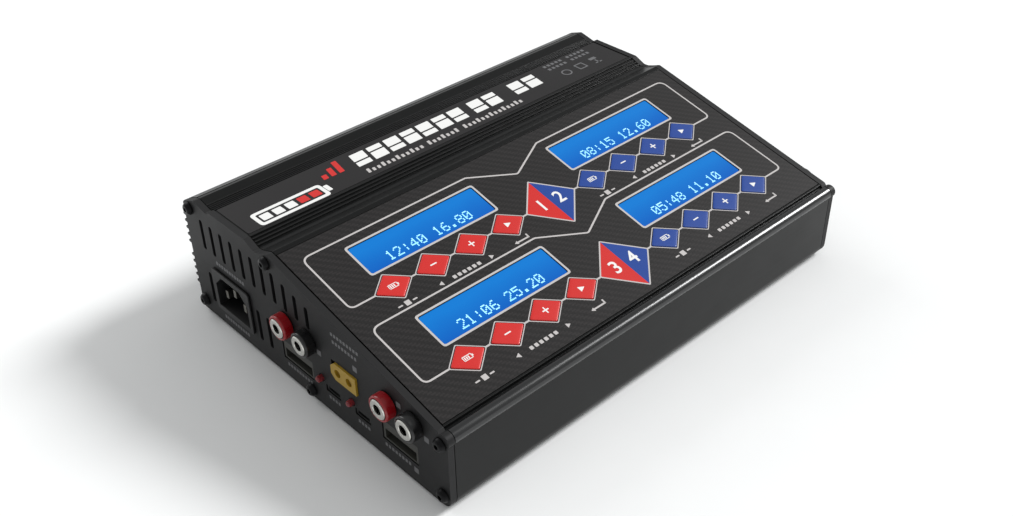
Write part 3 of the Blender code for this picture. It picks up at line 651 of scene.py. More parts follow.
def front_bead(last_angle):
    """The round bead, from the front face over the top."""
    y, z, radius = BEAD
    first = 180 + math.degrees(math.acos((y - FRONT_Y) / radius))
    return sharp(arc(y, z, radius, first, last_angle, 18))


def steps_up(y, z, count, pitch, rise, width, foot):
    """Fine ribs that climb towards the back, each with soft edges."""
    corners = []
    for k in range(count):
        y0, z0 = y + k * pitch, z + k * rise
        corners += [(y0, z0 - foot, 0.1), (y0 + 0.05, z0, 0.2), (y0 + width, z0, 0.2),
                    (y0 + width + 0.05, z0 - foot + rise, 0.1)]
    return corners


def case_section():
    recess, shell = 0.9, 2.9
    wall_front, wall_back, lip = FRONT_Y + 2.2, BACK_Y - 2.5, 79.5
    inner_end = (CREST[0] + shell * math.sin(DECK_ANGLE) - wall_front) / math.cos(DECK_ANGLE)
    front = [(-lip, 0, 0.2), (FRONT_Y, 0, 4.6)] + front_bead(38)
    groove = [(*deck_point(104.7, 1.6), 0.3), (*deck_point(104.2, 0), 0.25)]
    deck = [(*deck_point(103.3, 0), 0.1), (*deck_point(103.3, recess), 0),
            (*deck_point(1.9, recess), 0), (*deck_point(1.9, 0), 0.1)]
    crest = [(17.7, 60.38, 1.2), (21.9, 58.6, 2.0), (24.8, 57.6, 1.0), (27.4, 57.35, 0.3)]
    ribs = steps_up(28.2, 58.1, 3, 1.7, 0.6, 1.0, 0.75)
    label = [(33.3, 59.1, 0.15), (33.35, TOP_Z, 0.2), (35.0, TOP_Z, 0.12), (35.05, 59.5, 0),
             (60.25, 59.5, 0), (60.3, TOP_Z, 0.12), (60.95, TOP_Z, 0.2), (61.2, 57.3, 0.3),
             (62.9, 57.2, 0.3)]
    fine_ribs = steps_up(63.3, 58.6, 4, 1.0, 0.23, 0.5, 0.35)
    ridge = [(67.4, 59.25, 0.3), (71.0, 60.12, 0.8), (71.9, 60.29, 0.8), (73.9, 59.75, 0.25),
             (74.0, 59.2, 0.1), (74.6, 59.0, 0.1), (74.7, 59.5, 0.25)]
    back = [(79.5, 57.6, 1.5), (BACK_Y, 55.9, 1.2), (BACK_Y, 0, 2.0), (lip - 8, 0, 0.2),
            (lip - 8, 2, 0.2)]
    inside = [(wall_back - 1.6, 2, 0.5), (wall_back, 3.6, 0.5), (wall_back, 53.2, 1),
              (72.5, 57.4, 1), (68.2, 57.4, 0), (65.8, 54.8, 0), (58.5, 54.8, 0),
              (56.5, 57.3, 0), (37.5, 57.3, 0), (36.0, 55.0, 0), (23.0, 55.0, 0),
              (20.6, 56.9, 0), (*deck_point(2.6, shell), 0), (*deck_point(inner_end, shell), 0),
              (wall_front, 3.8, 0.5), (wall_front + 1.8, 2, 0.3), (-lip, 2, 0.2)]
    return filleted(front + groove + deck + crest + ribs + label + fine_ribs + ridge + back
                    + inside)


def on_deck(node):
    """(x, v) of a CAD node's middle on the deck's plane."""
    low, high = size_mm(node)
    local = DECK.inverted() @ ((low + high) / 2)
    return local.x, local.y


KEYS = sorted(name for name in frame["nodes"] if name.startswith("key_"))
DISPLAYS = sorted(name for name in frame["nodes"] if name.startswith("lcd_"))
KEY_HOLE = (9.0, 7.12)
DISPLAY_WIDTH = 65.7
PUNCH = (-7, 3)


def make_case():
    bm = bmesh.new()
    bm.faces.new([bm.verts.new((y, z, 0)) for y, z in case_section()])
    case = new_object("case_extrusion", bm, plane(-CASE_END), [ANODISED])
    grow(case, EXTRUSION, Length=2 * CASE_END * MM, Paint=ANODISED)
    bm = bmesh.new()
    for node in KEYS:
        add_prism(bm, diamond(*on_deck(node), *KEY_HOLE), *PUNCH)
    for node in DISPLAYS:
        add_prism(bm, rounded_rect(*on_deck(node), DISPLAY_WIDTH + 1.2, DISPLAY_HEIGHT + 1.2, 1),
                  *PUNCH)
    cut_with(case, new_object("windows", bm, DECK))
    smoothed(case, 28)
    # The bead's faces take the glossier, lighter copy of the finish: a real gloss with a painted
    # highlight in its colour.
    case.data.materials.append(BEAD_GLOSS_AND_PAINTED_HIGHLIGHT)
    for face in case.data.polygons:
        y, z = face.center.y / MM, face.center.z / MM - CASE_BOTTOM
        if math.hypot(y - BEAD[0], z - BEAD[1]) < BEAD[2] + 0.1 and z > BEAD[1] - 1.5:
            face.material_index = 1
    finish_piece(case, ["upper_case"])


make_case()

# %% [markdown]
# ### Heat-sink fins
#
# The back wall carries a bank of thin tapered fins, all one shape at one pitch, with one left
# out where the factory clamps the wall. This is what the `row` tree is for.

# %% Fins
FIN_ROOT_Y, FIN_TIP_Y = BACK_Y - 0.4, 90.5
FIN_PITCH, FIN_FIRST_Z = 3.67, 7.75
FIN_COUNT, FIN_MISSING = 11, 5


def make_fins():
    outline = filleted([(FIN_ROOT_Y, -0.9, 0), (FIN_TIP_Y, -0.6, 0.45), (FIN_TIP_Y, 0.6, 0.45),
                        (FIN_ROOT_Y, 0.9, 0)])
    bm = bmesh.new()
    add_prism(bm, outline, 0, 2 * CASE_END)
    first = plane(-CASE_END) @ Matrix.Translation((0, FIN_FIRST_Z, 0))
    fins = new_object("heat_sink_fins", bm, first, [ANODISED], smooth=35)
    grow(fins, ROW, 35, Count=FIN_COUNT, Pitch=(0.0, 0.0, FIN_PITCH * MM),
         Empty_Place=FIN_MISSING, Paint=ANODISED)
    finish_piece(fins)


make_fins()

# %% [markdown]
# ## End plates
#
# Both plates are cut from 3 mm sheet to the section's outline and punched for the vents, sockets
# and screws. The vent slots are one cutter in a `row`. After the cuts a small bevel breaks every
# edge, which the anodising leaves bright.


# %% Plate outline and holes
def plate_outline():
    front = [(FRONT_Y, 0, 4.8)] + front_bead(38)
    deck = [(*deck_point(104.2, 0), 0.3), (17.6, 60.3, 1.4)]
    top = [(21.9, 58.6, 2.0), (24.8, 57.6, 1.5), (27.4, 57.4, 1.5), (33.4, TOP_Z, 1.2),
           (60.9, TOP_Z, 0.6), (61.3, 58.5, 0.4), (63.3, 58.4, 0.4), (71.1, 60.15, 1.0),
           (71.9, 60.28, 0.8), (72.7, 60.1, 1.0), (79.5, 57.6, 1.5), (BACK_Y, 55.9, 1.2),
           (BACK_Y, 0, 2.2)]
    return filleted(front + deck + top, steps=5)


def on_plate(node):
    """(y, z) of a CAD node's middle on an end plate, in case millimetres."""
    low, high = size_mm(node)
    return (low.y + high.y) / 2, (low.z + high.z) / 2 - CASE_BOTTOM


SLOT_RADIUS = 1.2
VENT_FIRST_Y, VENT_LOW, VENT_HIGH = 68.8, 37.2, 52.4
VENT_COUNT, TALL_VENTS, RIGHT_SKIPS = 11, 8, 6
LOW_SLOTS_Y, LOW_SLOT = (69.4, 32.0, 24.5), (8.6, 24.6)
SCREW_KEYS = ("top_back", "bottom_back", "top_middle", "bottom_middle", "top_front",
              "bottom_front")
BANANAS = [row + "_" + pole for row in ("back", "front") for pole in ("plus", "minus")]
SENSORS_Y = (-19.2, -38.4)
LEDS = ((-11.9, 15.5), (-31.9, 15.5))
GRILLE_RINGS = ((6.0, 8.6), (10.6, 13.2), (15.2, 17.8))
CUT = (-5, 2)


def slot_outline(y, low, high):
    r = SLOT_RADIUS
    return arc(y, high - r, r, 0, 180, 8) + arc(y, low + r, r, 180, 360, 8)


def socket_holes():
    holes = [arc(*on_plate("banana_left_" + name), 4.3, 0, 350, 35) for name in BANANAS]
    holes += [rounded_rect(*on_plate("balance_socket_left_" + row), 21.4, 9.8, 0.5)
              for row in ("back", "front")]
    holes += [rounded_rect(y, 12.1, 9.6, 3.4, 0.6) for y in SENSORS_Y]
    holes += [arc(*led, 1.8, 0, 345, 23) for led in LEDS]
    holes += [arc(*on_plate("screw_left_" + key), 1.9, 0, 345, 23) for key in SCREW_KEYS]
    return holes


def fan_grille():
    """Rings of curved slots, each ring turned by half a slot from the last."""
    holes = []
    for ring, (inner, outer) in enumerate(GRILLE_RINGS):
        for quarter in range(4):
            start = 45 * (ring % 2) + 90 * quarter + 9
            holes.append(arc(*FAN_CENTRE, outer, start, start + 72, 16)
                         + arc(*FAN_CENTRE, inner, start + 72, start, 16))
    return holes


def left_holes():
    return ([slot_outline(y, *LOW_SLOT) for y in LOW_SLOTS_Y]
            + [rounded_rect(*on_plate("ac_inlet"), 27.2, 20.0, 1.0),
               rounded_rect(*on_plate("dc_inlet"), 16.6, 9.0, 0.6)])


def punch(name, side, outlines):
    bm = bmesh.new()
    for outline in outlines:
        add_prism(bm, outline, *CUT)
    return new_object(name, bm, PLATE_PLANES[side])


def vent_cutters(side):
    """The tall slots. The last three are shorter where the deck comes down over them."""
    first = 0 if side == "left" else RIGHT_SKIPS
    y = VENT_FIRST_Y - first * SLOT_PITCH
    row = punch("vent_row", side, [slot_outline(y, VENT_LOW, VENT_HIGH)])
    grow(row, ROW, Count=TALL_VENTS - first, Pitch=(0.0, -SLOT_PITCH * MM, 0.0), Empty_Place=-1)
    short = [slot_outline(VENT_FIRST_Y - i * SLOT_PITCH, VENT_LOW,
                          VENT_HIGH - (i - TALL_VENTS + 1) * 1.5)
             for i in range(TALL_VENTS, VENT_COUNT)]
    return row, punch("short_vents", side, short)


# %% Both plates
def make_plate(side):
    bm = bmesh.new()
    add_prism(bm, plate_outline(), PLATE_IN - PLATE_OUT, 0)
    plate = new_object("end_plate_" + side + "_panel", bm, PLATE_PLANES[side], [BLASTED])
    holes = socket_holes() + (left_holes() if side == "left" else fan_grille())
    cut_with(plate, punch("socket_holes", side, holes), *vent_cutters(side))
    made_real(bevel(plate, 0.25), smooth=30)
    plate.data.materials.clear()
    plate.data.materials.append(BLASTED)
    finish_piece(plate, ["end_plate_" + side])


for side in SIDES:
    make_plate(side)

# %% [markdown]
# ## Screws
#
# Each plate is held by six M3 button-head screws with a hexagon socket. One screw is turned as a
# profile, its socket is cut, and the `seats` tree puts a copy at every hole.


# %% Screws
SCREW = [(2.0, 0), (2.0, 1.5), (1.93, 1.85), (1.6, 2.35), (1.0, 2.75), (0.4, 2.95), (0.1, 3.0),
         (0, 2.9), (0, 1.5), (-9, 1.5), (-9, 0)]
HEXAGON_FLATS = 2.0
FACING_X = Matrix.Rotation(math.pi / 2, 4, "Y")


def lathe_part(name, profile, material, steps=40):
    """A turned part whose axis points along X."""
    bm = bmesh.new()
    add_lathe(bm, profile, steps)
    return new_object(name, bm, FACING_X, [material], smooth=35)


def names_of(kind, keys):
    return [kind + "_" + side + "_" + key for side in SIDES for key in keys]


def seats_of(kind, keys, out=0.0):
    return [seat for side in SIDES
            for seat in plate_seats(side, [on_plate(kind + "_" + side + "_" + key)
                                           for key in keys], out)]


screw = lathe_part("screw", SCREW, BLACK_OXIDE, 32)
bm = bmesh.new()
add_prism(bm, arc(0, 0, HEXAGON_FLATS / math.sqrt(3), 0, 300, 5), 0.8, 3)
cut_with(screw, new_object("hexagon", bm, FACING_X))
screws = at_seats("plate_screws", screw, seats_of("screw", SCREW_KEYS, 0.3), BLACK_OXIDE)
finish_piece(screws, names_of("screw", SCREW_KEYS))

# %% [markdown]
# ## Banana sockets
#
# A 4 mm socket is a nickel-plated barrel with a wide turned face, held in a moulded collar that
# gives the pole's colour, with a dark spring sleeve inside. Each is a separate turned shape, and
# the tree seats them at the eight holes: red collars for plus, black for minus.

# %% Banana sockets
COLLAR = [(0.3, 4.0), (0.3, 5.4), (0.55, 5.65), (3.9, 5.65), (4.45, 5.5), (4.75, 5.15),
          (4.8, 4.85), (4.6, 4.6), (3.5, 4.6), (3.5, 4.0), (0.3, 4.0)]
BARREL = [(-8.9, 0), (-8.9, 2.5), (3.6, 2.5), (3.6, 2.2), (5.0, 2.2), (5.2, 2.4), (5.2, 3.8),
          (5.1, 4.1), (4.85, 4.3), (3.4, 4.3), (3.4, 3.9), (-3.3, 3.9), (-3.3, 5.5), (-6.3, 5.5),
          (-6.3, 3.9), (-16, 3.9), (-16, 0)]
SLEEVE = [(-8.8, 0), (-8.8, 2.48), (3.55, 2.48), (3.55, 2.2), (-8.5, 2.2), (-8.5, 0)]

for pole, colour, slot in (("plus", RED_COLLAR, "red_socket"),
                           ("minus", BLACK_COLLAR, "black_socket")):
    keys = [key for key in BANANAS if key.endswith(pole)]
    collars = at_seats("banana_collars_" + pole, lathe_part("collar", COLLAR, colour),
                       seats_of("banana", keys), colour)
    finish_piece(collars, names_of("banana", keys))
sockets = seats_of("banana", BANANAS)
finish_piece(at_seats("banana_barrels", lathe_part("barrel", BARREL, NICKEL), sockets, NICKEL))
sleeve = lathe_part("sleeve", SLEEVE, BLACK_OXIDE, 24)
finish_piece(at_seats("banana_spring_sleeves", sleeve, sockets, BLACK_OXIDE))

# %% [markdown]
# ## Connectors from the CAD shapes
#
# The inlets, the balance ports and the boards already have the right shapes in the CAD model.
# A copy of each is welded, its flat facets are joined, and a small bevel softens the moulded
# edges. A rule by place then says which faces are contacts, lamps or capacitors.


# %% Refined copies of CAD nodes
def refined(node, name, materials, width, paint=None, smooth=35, body="case"):
    """A finer copy of a CAD node in its place. Paint picks each face's material by place."""
    bm = bmesh.new()
    bm.from_mesh(frame["nodes"][node].data)
    bmesh.ops.remove_doubles(bm, verts=bm.verts, dist=2e-6)
    bmesh.ops.dissolve_limit(bm, angle_limit=math.radians(1), verts=bm.verts, edges=bm.edges)
    obj = add_object(name, bpy.data.meshes.new(name))
    bm.to_mesh(obj.data)
    bm.free()
    for mat in materials:
        obj.data.materials.append(mat)
    if width:
        bevel(obj, width)
    made_real(obj, smooth)
    if paint:
        for face in obj.data.polygons:
            face.material_index = paint(face.center / MM)
    finish_piece(obj, [node], body)


def mains_paint(p):
    """Pins stand in the middle of the recess, in from its walls."""
    y, z = on_plate("ac_inlet")
    beside = abs(p.y - y)
    inside = beside < 8.4 and -3.5 < p.z - CASE_BOTTOM - z < 5.2 and p.x < -PLATE_OUT + 13.6
    return 1 if inside and p.x > -PLATE_OUT + 0.2 and abs(p.x) < PLATE_OUT else 0


# The pins inside the recess take the darkened pin metal, which carries painted shade of the recess.
refined("ac_inlet", "mains_inlet_housing", [TEXTURED_BLACK, INLET_PIN_PAINTED_SHADE], 0.2,
        mains_paint)
refined("dc_inlet", "supply_connector", [YELLOW_NYLON], 0.3)

# %% [markdown]
# The supply connector's two contacts are gold-flashed tubes, split at the end, and each balance
# port holds a row of square pins. Both are seated by the tree.

# %% Contacts and pins
SUPPLY_CONTACT = [(-7.8, 0), (-7.8, 1.7), (-0.5, 1.7), (-0.35, 1.6), (-0.35, 1.45), (-0.5, 1.35),
                  (-6.0, 1.35), (-6.0, 0)]
SUPPLY_CORE = [(-5.9, 0), (-5.9, 1.3), (-1.6, 1.3), (-1.5, 1.2), (-1.5, 0)]
CONTACT_SPREAD = 3.6
PIN_COUNT, PIN_PITCH, PIN_DEPTH, PIN_DROP = 7, 2.5, 3.5, 1.6

y, z = on_plate("dc_inlet")
contacts = plate_seats("left", [(y - CONTACT_SPREAD, z), (y + CONTACT_SPREAD, z)])
for name, profile, finish_of, steps in (
        ("supply_contacts", SUPPLY_CONTACT, PIN_GOLD, 24),
        ("supply_contact_cores", SUPPLY_CORE, BLACK_OXIDE, 16)):
    part = lathe_part("contact", profile, finish_of, steps)
    finish_piece(at_seats(name, part, contacts, finish_of))


def make_balance_port(side, row):
    node = "balance_socket_" + side + "_" + row
    refined(node, "balance_port_" + side + "_" + row, [GREY_NYLON], 0.2)
    y, z = on_plate(node)
    first = y - PIN_PITCH * (PIN_COUNT - 1) / 2
    seats = plate_seats(side, [(first + k * PIN_PITCH, z - PIN_DROP) for k in range(PIN_COUNT)],
                        -PIN_DEPTH)
    bm = bmesh.new()
    add_prism(bm, rounded_rect(0, 0, 0.7, 0.7, 0.1, 2), -5.5, 0)
    pin = new_object("pin", bm, FACING_X, [NICKEL], smooth=35)
    finish_piece(at_seats("balance_pins_" + side + "_" + row, pin, seats, NICKEL))


for side in SIDES:
    for row in ("back", "front"):
        make_balance_port(side, row)

# %% [markdown]
# ## Inside, feet and base
#
# Through the vents a little of the boards shows, so they get their real finishes: green solder
# resist, black parts, bare aluminium heat sinks. The lamps and sensor ports are soldered to the
# main board and come out through the plates.


# %% Boards, fan, feet and base plate
BOARD_TOP = 9.7


def board_paint(p):
    """0 board, 1 lamp, 2 connector housing, 3 black component."""
    z = p.z - CASE_BOTTOM
    lamp = any(math.hypot(p.y - y, z - height) < 1.75 for y, height in LEDS)
    if lamp and abs(p.x) > PLATE_IN - 0.8:
        return 1
    if z <= BOARD_TOP:
        return 0
    return 2 if abs(p.x) > PLATE_IN - 8.5 else 3


def power_paint(p):
    """0 board, 1 heat sink, 2 capacitor sleeve, 3 transformer tape."""
    if p.z - CASE_BOTTOM < BOARD_TOP:
        return 0
    if p.x > 30:
        return 1
    return 2 if p.x < -15 else 3


def switch_paint(p):
    return 1 if (DECK.inverted() @ p).z > -7.7 else 0


refined("main_board", "main_board_with_parts",
        [BOARD_GREEN, LED_RED, TEXTURED_BLACK, FAN_BLACK], 0.12, board_paint)
refined("power_board", "power_board_with_parts",
        [BOARD_GREEN, NICKEL, FAN_BLACK, YELLOW_NYLON], 0.4, power_paint)
refined("switch_board", "switch_board_with_keys", [BOARD_GREEN, FAN_BLACK], 0,
        switch_paint, smooth=None)
refined("fan_frame", "fan_housing", [FAN_BLACK], 0.3)
refined("fan_rotor", "fan_blades_and_hub", [FAN_BLACK], 0.1, body="fan")
refined("base_plate", "bottom_plate", [ANODISED], 0.2)
for node in sorted(name for name in frame["nodes"] if name.startswith("foot_")):
    refined(node, node.replace("foot", "rubber_foot"), [RUBBER], 0.3)

# %% [markdown]
# ## Keypad film and displays
#
# The film keeps its CAD shape, a flat sheet with windows, and takes the weave. Each display is
# glass on its board. Its characters are dots on a fixed grid, so a line of figures is a set of
# seats for one dot. The figures are plain readings with no lettering.

# %% The keypad film
film = frame["nodes"]["keypad_overlay"]
film.data.materials.clear()
film.data.materials.append(CARBON_FILM)
low, high = size_mm("keypad_overlay")
print("film:", [round(c, 1) for c in high - low], "mm")

# %% Displays
DOT_ROWS = {
    "0": "01110 10001 10011 10101 11001 10001 01110",
    "1": "00100 01100 00100 00100 00100 00100 01110",
    "2": "01110 10001 00001 00010 00100 01000 11111",
    "4": "00010 00110 01010 10010 11111 00010 00010",
    "5": "11111 10000 11110 00001 00001 10001 01110",
    "6": "00110 01000 10000 11110 10001 10001 01110",
    "8": "01110 10001 10001 01110 10001 10001 01110",
    ":": "00000 00100 00100 00000 00100 00100 00000",
    ".": "00000 00000 00000 00000 00000 01100 01100",
}
READINGS = {"lcd_module_1": "12:40 16.80", "lcd_module_2": "08:15 12.60",
            "lcd_module_3": "21:06 25.20", "lcd_module_4": "05:48 11.10"}
DOT = (0.58, 0.64)
DOT_PITCH = (0.68, 0.74)
CHARACTER_PITCH = 4.12
TEXT_V = -3.9
GLASS_TOP = -0.3
MODULE_BOARD = (72.0, 21.0)


def dot_places(text, x, v):
    """Middles of the lit dots of a line of characters centred on (x, v)."""
    places = []
    for k, character in enumerate(text):
        left = x + (k - (len(text) - 1) / 2) * CHARACTER_PITCH
        for row, dots in enumerate(DOT_ROWS.get(character, "").split()):
            places += [(left + (column - 2) * DOT_PITCH[0], v + (3 - row) * DOT_PITCH[1])
                       for column, dot in enumerate(dots) if dot == "1"]
    return places


def make_display(node):
    x, v = on_deck(node)
    bm = bmesh.new()
    add_prism(bm, rounded_rect(x, v, DISPLAY_WIDTH, DISPLAY_HEIGHT, 0.8), -3.9, GLASS_TOP)
    add_prism(bm, rounded_rect(x, v, *MODULE_BOARD, 0.5), -4.8, -3.2, paint=1)
    display = new_object(node.replace("lcd_module", "display_glass"), bm, DECK,
                         [DISPLAY_GLASS, BOARD_GREEN], smooth=35)
    finish_piece(display, [node])
    bm = bmesh.new()
    add_prism(bm, rounded_rect(0, 0, *DOT, 0.08, 1), -0.05, 0.03)
    dot = new_object("dot", bm, Matrix.Rotation(DECK_ANGLE, 4, "X"), [LIT_DOTS])
    seats = [(DECK @ Vector((px, pv, GLASS_TOP)), 0.0)
             for px, pv in dot_places(READINGS[node], x, v + TEXT_V)]
    finish_piece(at_seats(node.replace("lcd_module", "display_figures"), dot, seats, LIT_DOTS,
                          smooth=None))


for node in DISPLAYS:
    make_display(node)

# %% [markdown]
# ## Keys
#
# Every key is its own cap on its own slide. The cap is a diamond with a soft edge, a shallow
# crown, and a symbol printed on it: a battery for the pack type, minus and plus, and a start
# arrow. The crown is made by stacking the outline, each copy a little smaller and higher.

# %% Key caps
KEY_CAP = (8.6, 6.8)
KEY_LEVELS = [(-3.1, 1.0), (0.12, 1.0), (0.24, 0.985), (0.32, 0.96), (0.36, 0.9), (0.39, 0.7),
              (0.4, 0.35)]


def bar(cx, cy, width, height, radius=0.15):
    return rounded_rect(cx, cy, width, height, radius, 2)


SYMBOLS = {
    "type": [bar(-0.15, 1.0, 4.4, 0.34), bar(-0.15, -1.0, 4.4, 0.34), bar(-2.2, 0, 0.34, 2.3),
             bar(1.9, 0, 0.34, 2.3), bar(2.35, 0, 0.4, 1.0), bar(-1.4, 0, 0.55, 1.3),
             bar(-0.5, 0, 0.55, 1.3), bar(0.4, 0, 0.55, 1.3)],
    "down": [bar(0, 0, 3.2, 0.62)],
    "up": [bar(0, 0, 3.2, 0.62), bar(0, 1.0, 0.62, 1.4), bar(0, -1.0, 0.62, 1.4)],
    "start": [filleted([(-1.3, 1.45, 0.15), (-1.3, -1.45, 0.15), (1.6, 0, 0.15)])],
}


def make_key(node):
    number, kind = node.split("_")[1:]
    colour, slot = (RED_CAP, "red_key") if int(number) % 2 else (BLUE_CAP, "blue_key")
    bm = bmesh.new()
    outline = diamond(0, 0, *KEY_CAP, 0.8)
    rings = [[bm.verts.new((px * k, py * k, z)) for px, py in outline] for z, k in KEY_LEVELS]
    bm.faces.new(rings[0][::-1])
    bm.faces.new(rings[-1])
    for low, high in zip(rings, rings[1:]):
        for i in range(len(low)):
            j = (i + 1) % len(low)
            bm.faces.new((low[i], low[j], high[j], high[i]))
    for symbol in SYMBOLS[kind]:
        add_prism(bm, symbol, 0.3, 0.43, paint=1)
    cap = new_object(node.replace("key_", "key_cap_"), bm,
                     DECK @ Matrix.Translation((*on_deck(node), 0)), [colour, WHITE_INK], smooth=35)
    body = next(name for name, members in frame["record"]["behaviour"]["bodies"].items()
                if members == [node])
    finish_piece(cap, [node], body)


for node in KEYS:
    make_key(node)

# %% [markdown]
# ## Printing on the film
#
# The layout is one row of graphics repeated down the deck: a frame with a dip in the middle, a
# display border, a line that strings the diamonds together, and the split diamond that numbers
# the channels. All of it is thin ink with a real edge.

# %% Ink shapes on the deck
INK = 0.05
LINE = 0.8
KEY_V = -41.3
BORDER_X, BORDER_TOP = 107.5, -9.3
DIP = (21.5, -20.0)
SPLIT = (14.0, 14.3)
KEY_BORDER = (9.75, 7.75)


def print_film(name, ink, shapes=(), rings=(), height=INK):
    """Prints closed shapes and rings in one ink on the keypad film."""
    bm = bmesh.new()
    for shape in shapes:
        add_prism(bm, shape, -INK, height)
    for outer, inner in rings:
        add_ring(bm, outer, inner, -INK, height)
    finish_piece(new_object(name, bm, DECK, [ink]))


def key_line(row_shift):
    """Pieces of the line between the diamonds, from the frame to the split diamond."""
    xs = sorted(abs(on_deck(node)[0]) for node in KEYS if "_1_" in node)
    stops = [SPLIT[0] - 0.2] + [x + side * (KEY_BORDER[0] - 0.5) for x in xs
                                for side in (-1, 1)] + [BORDER_X - 5.5]
    return [bar(side * (near + far) / 2, KEY_V + row_shift, far - near, LINE, 0.1)
            for near, far in zip(stops[0::2], stops[1::2]) for side in (1, -1)]


def row_frame(row_shift):
    """The open frame round a row: up from the key line, along, and down into the dip."""
    top, low = BORDER_TOP + row_shift, KEY_V + row_shift
    line = [(-BORDER_X + 6, low, 0), (-BORDER_X, low, 5.5), (-BORDER_X, top, 4),
            (-DIP[0], top, 3), (0, DIP[1] + row_shift, 2), (DIP[0], top, 3),
            (BORDER_X, top, 4), (BORDER_X, low, 5.5), (BORDER_X - 6, low, 0)]
    return stroke(filleted(line, closed=False, steps=8), LINE)


def make_grey_print():
    bm = bmesh.new()
    for row in range(2):
        shift = -row * ROW_PITCH
        add_prism(bm, row_frame(shift), -INK, INK)
        for piece in key_line(shift):
            add_prism(bm, piece, -INK, INK * 0.9)
        outer = diamond(0, KEY_V + shift, SPLIT[0] + 0.9, SPLIT[1] + 0.9, 0.6)
        inner = diamond(0, KEY_V + shift, *SPLIT, 0.5)
        add_ring(bm, outer, inner, -INK, INK)
    for node in KEYS:
        place = on_deck(node)
        add_ring(bm, diamond(*place, *KEY_BORDER, 0.9), diamond(*place, 9.1, 7.2), -INK, INK)
    for node in DISPLAYS:
        outer, inner = [rounded_rect(*on_deck(node), DISPLAY_WIDTH + more, DISPLAY_HEIGHT + more,
                                     radius) for more, radius in ((2.6, 1.6), (0.7, 1.0))]
        add_ring(bm, outer, inner, -INK, INK)
    finish_piece(new_object("keypad_line_print", bm, DECK, [GREY_INK]))


make_grey_print()

# %% [markdown]
# The split diamonds carry the channel numbers, which are plain figures. Blender's own font is
# made into a mesh, a little bolder than drawn, before it takes its place.


# %% Split diamonds and channel numbers
NUMERAL_SIZE, NUMERAL_X = 9.4, 5.2


def half_diamond(v, side):
    return filleted([(0, v + SPLIT[1], 0), (0, v - SPLIT[1], 0), (side * SPLIT[0], v, 0.5)])


def numeral(text, x, v):
    curve = bpy.data.curves.new("numeral", "FONT")
    curve.body = text
    curve.size = NUMERAL_SIZE
    curve.extrude = INK
    curve.offset = 0.12
    curve.align_x = curve.align_y = "CENTER"
    label = add_object("numeral", curve)
    bpy.context.view_layer.update()
    mesh = bpy.data.meshes.new_from_object(label.evaluated_get(
        bpy.context.evaluated_depsgraph_get()))
    bpy.data.objects.remove(label)
    mesh.transform(Matrix.Translation((x, v, INK * 1.6)))
    return mesh


ROWS_V = (KEY_V, KEY_V - ROW_PITCH)
for name, ink, side in (("red", RED_INK, -1), ("blue", BLUE_INK, 1)):
    print_film("channel_diamonds_" + name, ink, [half_diamond(v, side) for v in ROWS_V],
               height=INK * 1.2)
bm = bmesh.new()
for channel in range(4):
    side = 1 if channel % 2 else -1
    bm.from_mesh(numeral(str(channel + 1), side * NUMERAL_X, ROWS_V[channel // 2]))
bmesh.ops.remove_doubles(bm, verts=bm.verts, dist=1e-4)
finish_piece(new_object("channel_numbers", bm, DECK, [WHITE_INK]))

# %% [markdown]
# Under the keys the film names what each does when a charge is running. Signs that need no
# language stand there: a stop square, scroll arrows with dots between them, and an enter arrow.


# %% Signs under the keys
def arrow(x, v, side, size=1.2):
    return filleted([(x, v - size, 0.1), (x, v + size, 0.1), (x + side * 1.7 * size, v, 0.1)])


def sign_shapes(x_stop, x_left, x_right, x_enter, v):
    middle = (x_left + x_right) / 2
    return ([bar(x_stop, v, 2.5, 2.5), bar(x_stop - 3.6, v, 2.2, 0.7),
             bar(x_stop + 3.6, v, 2.2, 0.7), arrow(x_left + 1, v, -1), arrow(x_right - 1, v, 1)]
            + [bar(middle + (k - 2.5) * 2.6, v, 1.7, 1.7, 0.3) for k in range(6)]
            + [arrow(x_enter - 2.6, v - 0.3, -1, 1.0), bar(x_enter + 0.6, v - 0.3, 6.4, 0.75),
               bar(x_enter + 3.5, v + 0.7, 0.75, 2.0)])


SIGNS_X = ((-87.5, -70.5, -43.5, -26.5), (25.5, 43.0, 70.0, 86.5))
SIGNS_V = (-51.2, -96.2)
print_film("keypad_sign_print", GREY_INK,
           [shape for v in SIGNS_V for xs in SIGNS_X for shape in sign_shapes(*xs, v)])

# %% [markdown]
# ## The label on the crown
#
# A narrow film lies in the flat between the two sets of grooves. The maker's title is not
# repeated: white bars, slanted like bold capitals, hold its place and weight, with a battery
# sign at the left and small grey lines where the real one has notes.

# %% Label film and its marks
LABEL = (-113.7, 113.7, 35.5, 59.9)
LABEL_TOP, MARK_TOP = 59.74, 59.79
LEAN = 0.2
TITLE = (45.6, 56.4)
TITLE_GROUPS = ((-50.0, 7), (19.5, 2), (46.0, 2))
BLOCK = (7.6, 9.5)
SUBTITLE_WORDS = ((-50.0, 12), (-15.5, 7), (6.0, 14))
NOTE_ROWS = ((57.3, 11), (53.6, 12))


def slanted(x, width, low, high):
    """An upright bar that leans to the right, as bold capitals on a label do."""
    shift = (high - low) * LEAN
    return filleted([(x, low, 0.3), (x + width, low, 0.3), (x + width + shift, high, 0.3),
                     (x + shift, high, 0.3)])


def title_blocks():
    low, high = TITLE
    blocks = []
    for start, count in TITLE_GROUPS:
        for k in range(count):
            x = start + k * BLOCK[1]
            split = low + (high - low) * (0.62 if k % 2 else 0.38)
            blocks += [slanted(x, BLOCK[0], low, split - 0.55),
                       slanted(x + (split - low) * LEAN, BLOCK[0], split + 0.55, high)]
    return blocks


